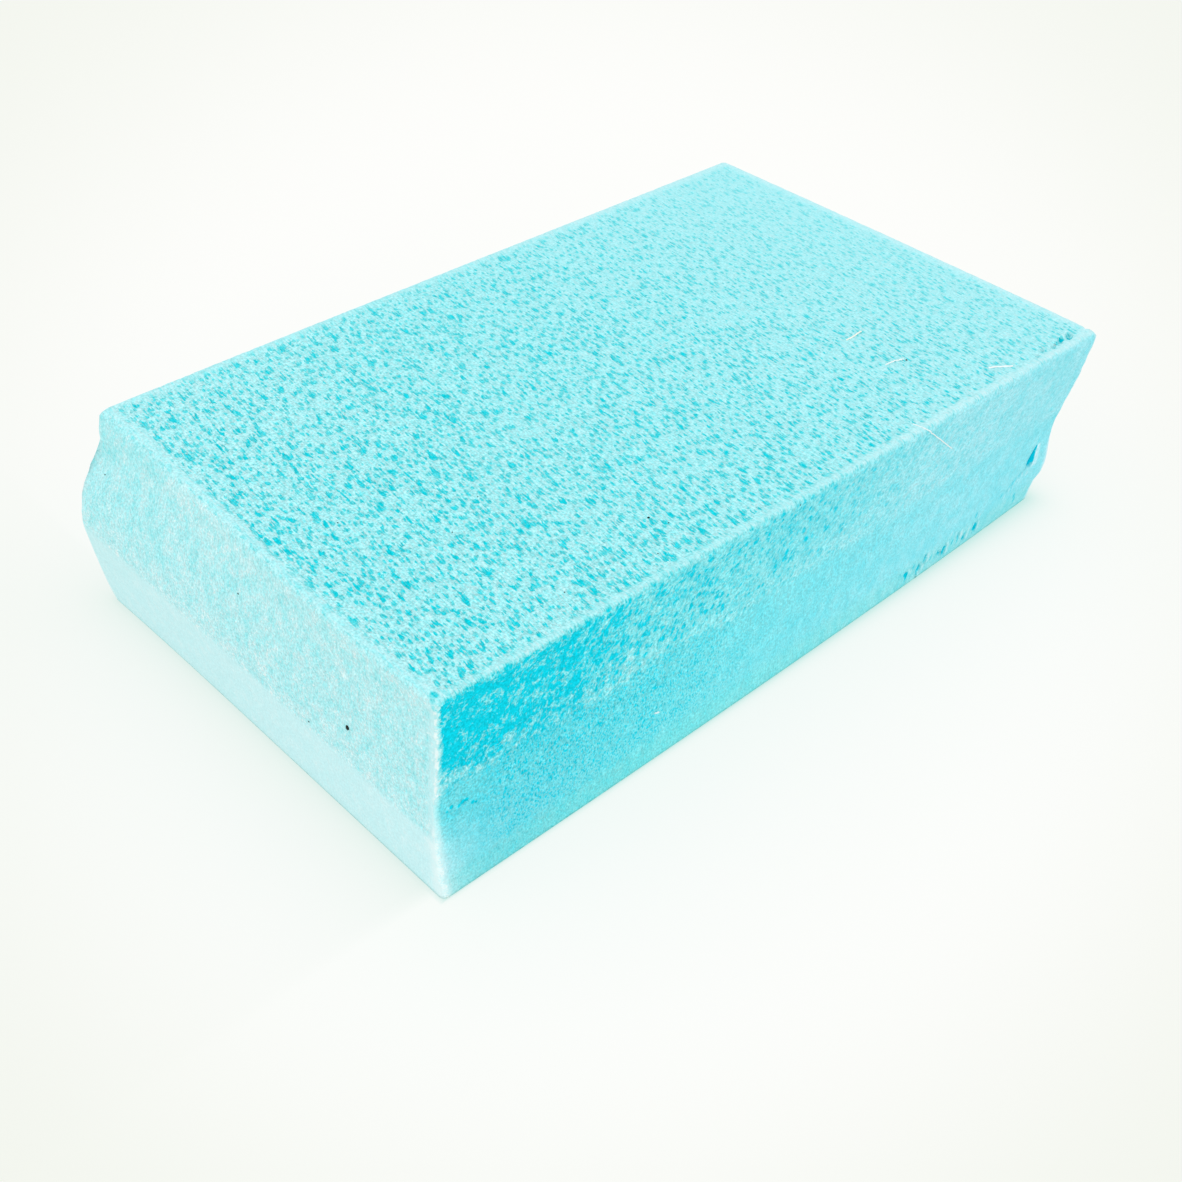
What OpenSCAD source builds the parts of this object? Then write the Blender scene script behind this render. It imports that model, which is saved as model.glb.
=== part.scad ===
// Foam block: an offcut of rigid closed-cell foam board.
// Each side was scored part of the way up from the base with a knife, and the rest was snapped.
// A side wall is therefore a flat band up to the score line, and a curved, rippled break above it.
// The block lies on its base, with +X along its length, +Y to the back and +Z up.
// Sizes are in millimetres. Offsets are from a plain box, and outwards is positive.

/* [Board] */
// Length of the block, from the left end to the right end
length = 98; // [75:1:125]
// Width of the block, from the front side to the back side
width = 56; // [44:1:76]
// Thickness of the board
thickness = 25; // [20:0.5:32]

/* [Score line] */
// Height of the score line at the corners
score_height = 12; // [8:0.5:14]
// How far the score line sags between two corners
score_sag = 1.4; // [0:0.1:2]
// Shape of the band below the score line: 1 is flat and less is rounder
score_fullness = 0.8; // [0.6:0.05:1]
// Depth of the ripples left in the break
break_ripple = 0.13; // [0:0.01:0.3]
// Spacing of the ripples along a wall
ripple_pitch = 11; // [9:0.5:16]

/* [Left end] */
// Offset at the score line, at the front corner
left_waist_front = 0.5; // [0:0.1:1.5]
// Offset at the score line, at the back corner, where the break bulges most
left_waist_back = 2.7; // [0:0.1:3]
// Offset of the base edges at the front corner
left_base_front = 0.1; // [-0.5:0.1:0.5]
// Offset of the base edge at the back corner
left_base_back = 0.4; // [0:0.1:1.5]
// Offset of the top edge at the front corner
left_top_front = 0.5; // [-1:0.1:1.5]
// Offset of the top edge at the back corner
left_top_back = 0; // [-1.5:0.1:1]
// Sideways swing of the top edge, out near the front and in near the back
left_top_swing = 0.5; // [0:0.1:1]
// How full the break stays above the score line: 1 is straight and 2 is round
left_fullness = 2; // [1:0.1:2.5]

// Depth of the neck under the crushed corner
left_neck = 1.1; // [0:0.1:1.4]

/* [Front side] */
// Offset at the score line, at the left corner, where the side is hollow
front_waist_left = -0.7; // [-1.5:0.1:0.5]
// Offset at the score line, at the right corner
front_waist_right = -0.6; // [-1.5:0.1:0.5]
// Offset of the base edge at the right corner
front_base_right = -1.1; // [-2:0.1:0.5]
// Offset of the top edge at the left corner
front_top_left = -0.4; // [-1.5:0.1:1]
// Overhang of the top edge at the right corner
front_top_right = 1.3; // [0:0.1:2]
// How full the break stays above the score line, at the left corner: 1 is straight and 2 is round
front_fullness_left = 2; // [1:0.1:2.5]
// How full the break stays above the score line, at the right corner
front_fullness_right = 0.9; // [0.8:0.1:2.5]

/* [Right end] */
// Offset at the score line
right_waist = 0.5; // [-1:0.1:1]
// Offset of the base edge at the front corner
right_base_front = -0.2; // [-1.5:0.1:0.5]
// Offset of the top edge at the front corner
right_top_front = 1; // [-0.5:0.1:1.5]
// Offset of the top edge at the back corner
right_top_back = -0.6; // [-1.5:0.1:1]
// How full the break stays above the score line: 1 is straight and 2 is round
right_fullness = 1; // [0.8:0.1:2.5]

/* [Back side] */
// Offset at the score line
back_waist = 1; // [0:0.1:1.5]
// Offset of the base edge
back_base = 0.6; // [0:0.1:1]
// Offset of the top edge at the left corner
back_top_left = -0.1; // [-0.5:0.1:1]
// Offset of the top edge at the right corner, which the top is out of square by
back_top_right = 1.5; // [0:0.1:2]
// How full the break stays above the score line: 1 is straight and 2 is round
back_fullness = 1.5; // [1:0.1:2.5]

/* [Edges] */
// Radius of the worn top edges
edge_round = 0.7; // [0.4:0.1:1]
// Radius of the worn upright edges
corner_round = 0.6; // [0.4:0.1:1.5]
// Depth of the curve from the score line to the top edge
break_hollow = 0.3; // [0:0.05:0.6]

/* [Crushed corner] */
// How far the top sinks at the back left corner
crush_depth = 5; // [1:0.5:6]
// Reach of the crush along the left end
crush_along_end = 14; // [8:0.5:18]
// Reach of the crush along the back side
crush_along_back = 2; // [1.5:0.5:4]

/* [Torn flap] */
// How far the flap on the front side stands out, beside the right corner
flap_lift = 0.7; // [0:0.1:1]
// Width of the flap, from the corner to its crack
flap_width = 3.4; // [2.5:0.1:5]
// Height at which the flap stands out most
flap_middle = 5.4; // [4.5:0.1:7]
// Reach of the flap above that height
flap_above = 5.5; // [3:0.5:6]
// Reach of the flap below that height
flap_below = 3.4; // [2:0.1:4]
// Length of the open crack behind the flap
crack_length = 3.4; // [2:0.1:5]
// Height of the middle of the open crack
crack_middle = 8; // [6:0.1:10]
// Lean of the open crack away from upright
crack_lean = 12; // [0:2:40]
// Width of the open crack
crack_width = 1.1; // [0.3:0.1:1.4]
// Depth of the open crack
crack_depth = 0.9; // [0.8:0.1:2.5]
// Lean of the shallow groove that runs on from the crack
groove_lean = 58; // [40:2:80]
// Length of the groove
groove_length = 4.4; // [3:0.1:6]
// Width of the groove
groove_width = 0.8; // [0.2:0.1:1]
// Depth of the groove
groove_depth = 0.2; // [0.2:0.1:1]

/* [Lifted lip] */
// Distance from the front top edge to the row of tears behind the lip
lip_width = 1.9; // [1.2:0.1:3]
// Distance from the right end to the first tear
tear_start = 2.8; // [2:0.1:5]
// Number of tears
tear_count = 5; // [1:1:7]
// Distance between two tears
tear_pitch = 1.7; // [1.2:0.1:2.5]
// Length of the first tear, and each one after it is smaller
tear_length = 1.8; // [1:0.1:2.4]
// Width of the first tear
tear_width = 0.55; // [0.2:0.05:0.8]
// Depth of the first tear
tear_depth = 0.5; // [0.4:0.1:1.5]
// Turn of the tears away from the lip
tear_turn = 66; // [50:2:84]
// Length of the notch that the tears run out in, at the right end
notch_length = 2.6; // [1.5:0.1:4]
// Width of the notch
notch_width = 0.8; // [0.4:0.1:1.2]

/* [Nicked base edge] */
// Number of nicks above the front base edge
nick_count = 8; // [1:1:9]
// Distance from the right end to the first nick
nick_start = 13; // [9:0.5:20]
// Distance between two nicks
nick_pitch = 2; // [1.5:0.1:3]
// Height of the nicks above the base
nick_level = 1.6; // [0.8:0.1:2.5]
// Lean of the nicks away from upright
nick_lean = 10; // [0:5:60]
// Width of a nick
nick_width = 0.9; // [0.3:0.1:1.2]
// Height of a nick
nick_height = 1.3; // [0.8:0.1:2]
// Depth of a nick
nick_depth = 0.3; // [0.2:0.1:1]

/* [Hidden] */

// How late along its wall an offset changes: 1 is evenly, and more is later
soon = 0.7;
later = 1.5;
late = 3;
last = 6;
// How fast the crush fades along the left end and along the back side
crush_fade_end = 2;
crush_fade_back = 5;
// Where the hollow under the top edge lies: more is closer to the edge
hollow_rise = 3;
// Size and spacing of the fine ripples beside the coarse ones, and how they lean up the wall
fine_ripple = 0.7;
fine_pitch = 0.62;
ripple_lean = 200;
// Angles that vary the copies in a row, each without a pattern that shows
vary_place = 200;
vary_width = 130;
vary_height = 230;
// How much the copies in a row vary
vary_share = 0.35;
vary_reach = 0.5;
vary_tear = 0.25;
// Size of each tear as a share of the one before it
tear_fade = 0.8;

// Mesh density: points on a long side, a short side and a corner, and rows of each band
long_steps = 38;
short_steps = 24;
corner_steps = 3;
score_rows = 8;
break_rows = 7;
edge_rows = 3;
// How much closer together the points lie near the corners, from 0 to 1
grading = 0.75;
// How far a cutting shape stands out of the skin that it cuts
cut_over = 2;
// Insets of the rings that carry the crush into the top
top_insets = [1, 1.4, 2.1, 5, 14];

function mix(a, b, t) = a + (b - a) * t;
// A value that goes from a to b along a wall, late where the power is over 1 and early where it is under
function drift(a, b, t, power = 1) = mix(a, b, pow(max(0, min(1, t)), power));

// Offsets of each wall at its base edge, its score line and its top edge
function left_wall(t) = [
    drift(left_base_front, left_base_back, t, last),
    drift(left_waist_front, left_waist_back, t),
    drift(left_top_front, left_top_back, t) + left_top_swing * sin(360 * t),
    left_fullness,
    drift(break_hollow, left_neck, t, late)
];
function front_wall(t) = [
    drift(left_base_front, front_base_right, t, late),
    drift(front_waist_left, front_waist_right, t),
    drift(front_top_left, front_top_right, t, soon),
    drift(front_fullness_left, front_fullness_right, t),
    drift(break_hollow, 0, t)
];
function right_wall(t) = [
    drift(right_base_front, 0, t, soon),
    right_waist,
    drift(right_top_front, right_top_back, t, later),
    right_fullness,
    drift(0, break_hollow, t)
];
function back_wall(t) = [
    back_base,
    back_waist,
    drift(back_top_left, back_top_right, t, soon),
    back_fullness,
    break_hollow
];

// level is 0 at the base, 1 at the score line and 2 at the top edge
function offset_at(wall, level, s) =
    level < 1
        ? mix(wall[0], wall[1], pow(level, score_fullness))
        : let (k = level - 1)
            mix(wall[1], wall[2], pow(k, wall[3]))
                - wall[4] * sin(180 * pow(k, hollow_rise))
                - ripple(s, k) * sin(180 * k);
function ripple(s, k) =
    let (coarse = 360 * s / ripple_pitch)
    break_ripple * (sin(coarse) + fine_ripple * sin(coarse / fine_pitch + ripple_lean * k));

// Height of the score line and of the top over any point of the plain box
function score_at(x, y) =
    score_height - score_sag * (sin(180 * x / length) + sin(180 * y / width)) / 2;
function top_at(x, y) =
    thickness - crush_depth
        * pow(max(0, 1 - x / crush_along_back), crush_fade_back)
        * pow(max(0, 1 - (width - y) / crush_along_end), crush_fade_end);
function height_at(x, y, level) =
    level < 1
        ? level * score_at(x, y)
        : mix(score_at(x, y), top_at(x, y), level - 1);

// How far the torn flap lifts the front side
function bump(u) = abs(u) < 1 ? pow(cos(90 * u), 2) : 0;
function flap_at(x, y, level) =
    let (rise = height_at(x, y, level) - flap_middle)
    flap_lift
        * bump(max(0, 2 * (length - x) / flap_width - 1))
        * bump(rise / (rise > 0 ? flap_above : flap_below));

// Where a point of the plain box lies on the real block
function skin(x, y, level) =
    let (
        tx = x / length,
        ty = y / width,
        left = offset_at(left_wall(ty), level, y),
        right = offset_at(right_wall(ty), level, y + length),
        front = offset_at(front_wall(tx), level, x + width) + flap_at(x, y, level),
        back = offset_at(back_wall(tx), level, x + length + width)
    )
    [x + mix(-left, right, tx), y + mix(-front, back, ty), height_at(x, y, level)];

// Plain box outline: round corners, with its points closer together near them
function share(i, n) = mix(i / n, (1 - cos(180 * i / n)) / 2, grading);
function side(from, to, n) = [for (i = [1 : n - 1]) mix(from, to, share(i, n))];
function corner(centre, start) = [
    for (i = [0 : corner_steps])
        centre + corner_round * [cos(start + 90 * i / corner_steps), sin(start + 90 * i / corner_steps)]
];
near_x = corner_round;
far_x = length - corner_round;
near_y = corner_round;
far_y = width - corner_round;
outline = concat(
    corner([near_x, near_y], 180),
    side([near_x, 0], [far_x, 0], long_steps),
    corner([far_x, near_y], 270),
    side([length, near_y], [length, far_y], short_steps),
    corner([far_x, far_y], 0),
    side([far_x, width], [near_x, width], long_steps),
    corner([near_x, far_y], 90),
    side([0, far_y], [0, near_y], short_steps)
);
ring_points = len(outline);

// One ring of the skin: the outline drawn in by inset, at a level less a depth below the top
function ring(level, inset = 0, depth = 0) = [
    for (p = outline)
        let (
            x = length / 2 + (p[0] - length / 2) * (1 - 2 * inset / length),
            y = width / 2 + (p[1] - width / 2) * (1 - 2 * inset / width),
            drop = depth / (top_at(x, y) - score_at(x, y))
        )
        skin(x, y, level - drop)
];
score_rings = [for (i = [0 : score_rows - 1]) ring(i / score_rows)];
break_rings = [for (i = [0 : break_rows - 1]) ring(1 + i / break_rows, 0, edge_round * i / break_rows)];
edge_rings = [
    for (i = [0 : edge_rows])
        let (turn = 90 * i / edge_rows)
        ring(2, edge_round * (1 - cos(turn)), edge_round * (1 - sin(turn)))
];
top_rings = [for (inset = top_insets) ring(2, inset)];
rings = concat(score_rings, break_rings, edge_rings, top_rings);
ring_count = len(rings);

// The base and the top each close in a fan round a point over the middle
base_hub = skin(length / 2, width / 2, 0);
top_hub = skin(length / 2, width / 2, 2);
skin_points = concat([for (r = rings) each r], [base_hub, top_hub]);
base_hub_id = ring_count * ring_points;
top_hub_id = base_hub_id + 1;
last_ring = (ring_count - 1) * ring_points;
base_faces = [for (j = [0 : ring_points - 1]) [base_hub_id, j, (j + 1) % ring_points]];
top_faces = [
    for (j = [0 : ring_points - 1]) [top_hub_id, last_ring + (j + 1) % ring_points, last_ring + j]
];
side_faces = [
    for (r = [0 : ring_count - 2], j = [0 : ring_points - 1])
        let (
            a = r * ring_points + j,
            b = r * ring_points + (j + 1) % ring_points,
            c = a + ring_points,
            d = b + ring_points
        )
        each [[a, c, d], [a, d, b]]
];

// The middle of the block's footprint, which is the part's origin
xs = [for (p = skin_points) p[0]];
ys = [for (p = skin_points) p[1]];
middle = [(min(xs) + max(xs)) / 2, (min(ys) + max(ys)) / 2];

// Level of the front side at height z
function front_level(x, z) =
    let (score = score_at(x, 0))
    z < score ? z / score : 1 + (z - score) / (thickness - score);
// Point of the front side at distance x along it and height z
function front_point(x, z) = skin(x, 0, front_level(x, z));

module skin_solid() {
    polyhedron(points = skin_points, faces = concat(base_faces, side_faces, top_faces));
}

// A pointed gash, long ways along Y, cut down from z = 0
module gash(gash_length, gash_width, gash_depth) {
    translate([0, 0, -gash_depth])
        linear_extrude(gash_depth + cut_over)
            polygon([
                [0, -gash_length / 2],
                [gash_width / 2, -gash_length / 6],
                [gash_width / 3, gash_length / 4],
                [0, gash_length / 2],
                [-gash_width / 2, gash_length / 8],
                [-gash_width / 3, -gash_length / 4]
            ]);
}

// A split that is wide and blunt at its lower end and runs out in a point at its upper end
module split(split_length, split_width, split_depth) {
    translate([0, 0, -split_depth])
        linear_extrude(split_depth + cut_over)
            polygon([
                [0, split_length / 2],
                [-split_width / 4, split_length / 8],
                [-split_width / 2, -split_length / 4],
                [-split_width / 4, -split_length / 2.4],
                [split_width / 6, -split_length / 2],
                [split_width / 2, -split_length / 3],
                [split_width / 4, 0]
            ]);
}

// Stands a gash or a split up against the front side, where its depth goes back into the block
module on_front(x, z) {
    translate(front_point(x, z))
        rotate([90, 0, 0])
            children();
}

// The crack stands at the flap's edge, and the groove runs on from its lower end
module crack() {
    crack_x = length - flap_width;
    on_front(crack_x, crack_middle)
        rotate(-crack_lean)
            split(crack_length, crack_width, crack_depth);
    groove_x = crack_x - crack_length / 2 * sin(crack_lean) - groove_length / 2 * sin(groove_lean);
    groove_z = crack_middle - crack_length / 2 * cos(crack_lean) - groove_length / 2 * cos(groove_lean);
    on_front(groove_x, groove_z)
        rotate(-groove_lean)
            gash(groove_length, groove_width, groove_depth);
}

// The tears run along behind the lip, and it stands clear of the top at the right end
module tears() {
    for (i = [0 : tear_count - 1]) {
        x = length - tear_start - i * tear_pitch;
        y = front_point(x, thickness)[1] + lip_width - vary_tear * sin(vary_place * i);
        share = pow(tear_fade, i);
        translate([x, y, thickness])
            rotate(-tear_turn)
                gash(tear_length * share, tear_width * share, tear_depth * share);
    }
    lip_end = front_point(length, thickness);
    translate([lip_end[0], lip_end[1] + lip_width, thickness])
        rotate(-tear_turn)
            gash(notch_length, notch_width, tear_depth);
}

module nicks() {
    for (i = [0 : nick_count - 1]) {
        x = length - nick_start - i * nick_pitch + vary_reach * sin(vary_place * i);
        z = nick_level * (1 + vary_share * sin(vary_height * i));
        width_here = nick_width * (1 + vary_share * sin(vary_width * i));
        on_front(x, z)
            rotate(-nick_lean * (1 + vary_share * sin(vary_place * i)))
                gash(nick_height * (1 + vary_share * cos(vary_height * i)), width_here, nick_depth);
    }
}

module foam_block() {
    color("lightskyblue")
        translate([-middle[0], -middle[1], 0])
            difference() {
                skin_solid();
                crack();
                tears();
                nicks();
            }
}

foam_block();
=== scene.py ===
import bpy
import math
import numpy as np
from mathutils import Euler, Matrix, Vector
from mathutils.bvhtree import BVHTree


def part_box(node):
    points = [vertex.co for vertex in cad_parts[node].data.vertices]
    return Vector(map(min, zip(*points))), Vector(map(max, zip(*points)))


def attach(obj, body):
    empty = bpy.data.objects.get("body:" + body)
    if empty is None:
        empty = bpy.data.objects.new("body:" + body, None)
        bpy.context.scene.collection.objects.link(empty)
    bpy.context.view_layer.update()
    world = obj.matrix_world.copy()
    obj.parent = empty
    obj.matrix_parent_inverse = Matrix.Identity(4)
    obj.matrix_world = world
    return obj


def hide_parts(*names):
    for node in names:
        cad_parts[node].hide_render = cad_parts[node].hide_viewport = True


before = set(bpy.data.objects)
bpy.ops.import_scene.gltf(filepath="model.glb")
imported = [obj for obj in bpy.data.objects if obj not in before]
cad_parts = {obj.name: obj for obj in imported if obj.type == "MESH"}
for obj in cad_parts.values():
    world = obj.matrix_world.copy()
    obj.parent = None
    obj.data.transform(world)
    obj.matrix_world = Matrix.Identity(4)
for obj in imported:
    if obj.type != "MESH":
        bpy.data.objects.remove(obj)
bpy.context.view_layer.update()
blockLow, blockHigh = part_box("foam_block")
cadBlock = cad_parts["foam_block"]
blockSize = blockHigh - blockLow
mm = 0.001
# The near corner of the base lies inside the bulging sides
cornerInset = Vector((2.676, 1.213, 0))
nearCorner = blockLow + cornerInset * mm
scene = bpy.context.scene
print("frame loaded")


def addNode(tree, kind, **settings):
    node = tree.nodes.new(kind)
    for name, value in settings.items():
        setattr(node, name, value)
    return node


def setInput(tree, socket, value):
    if isinstance(value, bpy.types.NodeSocket):
        tree.links.new(value, socket)
    elif value is not None:
        socket.default_value = value


def mathNode(tree, operation, a, b=None, c=None, clamp=False):
    node = addNode(tree, "ShaderNodeMath", operation=operation, use_clamp=clamp)
    for socket, value in zip(node.inputs, (a, b, c)):
        setInput(tree, socket, value)
    return node.outputs[0]


def rampNode(tree, value, low, high, toLow=0.0, toHigh=1.0):
    node = addNode(tree, "ShaderNodeMapRange", interpolation_type="SMOOTHSTEP")
    names = ("Value", "From Min", "From Max", "To Min", "To Max")
    for name, given in zip(names, (value, low, high, toLow, toHigh)):
        setInput(tree, node.inputs[name], given)
    return node.outputs["Result"]


def vectorNode(tree, operation, a, b=None, c=None):
    node = addNode(tree, "ShaderNodeVectorMath", operation=operation)
    for socket, value in zip(node.inputs, (a, b, c)):
        setInput(tree, socket, value)
    return node.outputs["Value" if operation in ("DISTANCE", "DOT_PRODUCT") else "Vector"]


def scaledVector(tree, vector, factor):
    node = addNode(tree, "ShaderNodeVectorMath", operation="SCALE")
    setInput(tree, node.inputs[0], vector)
    setInput(tree, node.inputs["Scale"], factor)
    return node.outputs[0]


def turnedPlace(tree, place, turn):
    node = addNode(tree, "ShaderNodeVectorRotate", rotation_type="EULER_XYZ")
    setInput(tree, node.inputs["Vector"], place)
    node.inputs["Rotation"].default_value = turn
    return node.outputs[0]


def attributeOf(tree, name, vector=False):
    if tree.bl_idname == "GeometryNodeTree":
        kind = "FLOAT_VECTOR" if vector else "FLOAT"
        node = addNode(tree, "GeometryNodeInputNamedAttribute", data_type=kind)
        node.inputs["Name"].default_value = name
        return node.outputs["Attribute"]
    node = addNode(tree, "ShaderNodeAttribute", attribute_name=name)
    return node.outputs["Vector" if vector else "Fac"]


def mixed(tree, a, b, share):
    return mathNode(tree, "MULTIPLY_ADD", mathNode(tree, "SUBTRACT", b, a), share, a)


def centredNoise(tree, value, amount, base):
    # adds a noise that leaves the mean of the base as it was
    return mathNode(tree, "MULTIPLY_ADD", mathNode(tree, "SUBTRACT", value, 0.5), amount, base)


def stretchedNoise(tree, place, cell, turn=(0, 0, 0), shift=(0, 0, 0),
                   detail=2.0, roughness=0.5, dimensions="3D"):
    turned = turnedPlace(tree, place, turn)
    scaled = vectorNode(tree, "MULTIPLY_ADD", turned, [1 / c for c in cell], shift)
    noise = addNode(tree, "ShaderNodeTexNoise", noise_dimensions=dimensions)
    setInput(tree, noise.inputs["Vector"], scaled)
    noise.inputs["Scale"].default_value = 1.0
    noise.inputs["Detail"].default_value = detail
    setInput(tree, noise.inputs["Roughness"], roughness)
    return noise.outputs[0]


def newTree(name, inputs):
    tree = bpy.data.node_groups.new(name, "GeometryNodeTree")
    tree.interface.new_socket("Geometry", in_out="INPUT", socket_type="NodeSocketGeometry")
    for label, kind in inputs.items():
        tree.interface.new_socket(label, in_out="INPUT", socket_type=kind)
    tree.interface.new_socket("Geometry", in_out="OUTPUT", socket_type="NodeSocketGeometry")
    return tree, addNode(tree, "NodeGroupInput")


def finishTree(tree, geometry, material):
    real = addNode(tree, "GeometryNodeRealizeInstances")
    setInput(tree, real.inputs[0], geometry)
    painted = addNode(tree, "GeometryNodeSetMaterial")
    setInput(tree, painted.inputs["Geometry"], real.outputs[0])
    setInput(tree, painted.inputs["Material"], material)
    out = addNode(tree, "NodeGroupOutput")
    setInput(tree, out.inputs[0], painted.outputs[0])
    return tree


def applyTree(piece, tree, values):
    modifier = piece.modifiers.new("nodes", "NODES")
    modifier.node_group = tree
    for item in tree.interface.items_tree:
        if item.in_out == "INPUT" and item.name in values:
            modifier[item.identifier] = values[item.name]
    depsgraph = bpy.context.evaluated_depsgraph_get()
    evaluated = piece.evaluated_get(depsgraph)
    made = bpy.data.meshes.new_from_object(evaluated, preserve_all_data_layers=True, depsgraph=depsgraph)
    piece.modifiers.remove(modifier)
    piece.data = made
    made.name = piece.name
    return piece


def addPointValues(mesh, name, values, kind="FLOAT"):
    attribute = mesh.attributes.new(name, kind, "POINT")
    field = "vector" if kind == "FLOAT_VECTOR" else "value"
    attribute.data.foreach_set(field, np.ascontiguousarray(values, dtype=np.float32).ravel())


# The skin is a fine grid laid on the CAD solid: rings of points round its walls, and a patch over its top.
skin = {
    "fineStart": 0.70,     # share of the length where the finer columns begin
    "columnStep": 0.33,    # mm between columns along the length
    "fineColumnStep": 0.20,
    "rimShare": 0.07,      # share of the width with the finer columns along the front edge
    "rimRowStep": 0.22,
    "rowStep": 0.50,       # mm between columns across the width
    "lowStep": 0.42,       # mm between rows of a wall, up to lowTop
    "highStep": 0.72,
    "lowTop": 10.0,
    "baseLift": 0.01,      # mm, where the section for the lowest row is taken
    "edgeRound": 0.7,      # mm, radius of the top edges
    "edgeRows": 4,
    "edgeTurn": 82,        # degrees of the rounding that the rows follow
    "castOff": 12.0,       # mm, how far outside the block a ray starts
    "topCastOff": 10.0,
    "cutReach": 4,         # columns, half the width of the widest cut
    "cutSpread": 0.3,      # share of a cut's depth that its colour takes one column further
    "lipReach": 3,         # columns, width of the torn lip beside a cut
    "lipGrowth": 4,
    "lipFade": 8,
    "farGap": 99.0,        # mm, stands for the distance to an upright edge on the top
}
# Sides in the order of a ring: front, right, back and left
corners = [Vector((-1, -1, 0)), Vector((1, -1, 0)), Vector((1, 1, 0)), Vector((-1, 1, 0))]
inward = [Vector((0, 1, 0)), Vector((-1, 0, 0)), Vector((0, -1, 0)), Vector((1, 0, 0))]
frontSide, leftSide, topSide = 0, 3, 4


def gradedSteps(total, parts):
    steps = [0.0]
    for start, end, step in parts:
        count = max(1, round((end - start) * total / step))
        steps += [start + (end - start) * (i + 1) / count for i in range(count)]
    return np.array(steps)


def rowHeights():
    straightTop = blockSize.z / mm - skin["edgeRound"]
    lowTop = skin["lowTop"]
    heights = list(gradedSteps(1, [(0, lowTop, skin["lowStep"]), (lowTop, straightTop, skin["highStep"])]))
    for i in range(skin["edgeRows"]):
        turn = math.radians(skin["edgeTurn"]) * (i + 1) / skin["edgeRows"]
        heights.append(straightTop + skin["edgeRound"] * math.sin(turn))
    heights = np.array(heights) * mm
    heights[0] = skin["baseLift"] * mm
    return heights


def closing(depth, reach):
    # fills what is narrower than twice the reach along the columns, so that the rest stands out as a cut
    windows = np.lib.stride_tricks.sliding_window_view
    low = windows(np.pad(depth, ((0, 0), (reach, reach)), mode="edge"), 2 * reach + 1, axis=1).min(-1)
    return windows(np.pad(low, ((0, 0), (reach, reach)), mode="edge"), 2 * reach + 1, axis=1).max(-1)


def lipBeside(cut):
    # the pale torn foam on the right of a cut
    reach = skin["lipReach"]
    shifted = np.pad(cut, ((0, 0), (reach, 0)), mode="edge")
    left = np.lib.stride_tricks.sliding_window_view(shifted, reach + 1, axis=1).max(-1)
    return np.clip(left * skin["lipGrowth"], 0, 1) * np.clip(1 - cut * skin["lipFade"], 0, 1)


def widened(depth):
    # a cut's colour reaches one column past its edge
    padded = np.pad(depth, ((0, 0), (1, 1)), mode="edge")
    return np.maximum(depth, skin["cutSpread"] * np.maximum(padded[:, :-2], padded[:, 2:]))


def cutsIn(sink):
    return widened((sink - closing(sink, skin["cutReach"])) / mm)


def castRings(tree, heights, shares):
    # a ring of points at each height, and how far under a plane outside the block each one lies
    points = np.array([v.co for v in cadBlock.data.vertices])
    edges = np.array([e.vertices[:] for e in cadBlock.data.edges])
    a, b = points[edges[:, 0]], points[edges[:, 1]]
    castOff = skin["castOff"] * mm
    ringSize = sum(len(s) - 1 for s in shares)
    ringPoints = np.zeros((len(heights), ringSize, 3))
    sink = np.full((len(heights), ringSize), castOff)
    for row, z in enumerate(heights):
        crossing = (a[:, 2] - z) * (b[:, 2] - z) < 0
        p, q = a[crossing], b[crossing]
        t = ((z - p[:, 2]) / (q[:, 2] - p[:, 2]))[:, None]
        section = p + (q - p) * t
        ends = [Vector(section[np.argmax(section @ np.array(way))]) for way in corners]
        column = 0
        for side, way in enumerate(inward):
            start, end = ends[side], ends[(side + 1) % 4]
            for share in shares[side][:-1]:
                guess = start.lerp(end, share)
                if share > 0:
                    hit, _, _, distance = tree.ray_cast(guess - way * castOff, way)
                    if hit is not None:
                        guess = hit
                        sink[row, column] = distance
                ringPoints[row, column] = guess
                column += 1
    ringPoints[0, :, 2] = 0.0
    return ringPoints, sink


def topPatch(tree, ring, alongX, alongY):
    # a patch between the four sides of the last ring, dropped onto the solid
    nx, ny = len(alongX) - 1, len(alongY) - 1
    front, right = ring[:nx + 1], ring[nx:nx + ny + 1]
    back = ring[nx + ny:nx + ny + nx + 1][::-1]
    left = np.vstack([ring[nx + ny + nx:], ring[:1]])[::-1]
    u, v = alongX[:, None, None], alongY[None, :, None]
    patch = (1 - v) * front[:, None] + v * back[:, None] + (1 - u) * left[None] + u * right[None]
    patch -= (1 - u) * (1 - v) * front[0] + u * (1 - v) * front[-1] + (1 - u) * v * back[0] + u * v * back[-1]
    above = blockHigh.z + skin["topCastOff"] * mm
    for i in range(1, nx):
        for j in range(1, ny):
            hit, _, _, _ = tree.ray_cast(Vector((patch[i, j, 0], patch[i, j, 1], above)), Vector((0, 0, -1)))
            if hit is not None:
                patch[i, j, 2] = hit.z
    return patch


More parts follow.
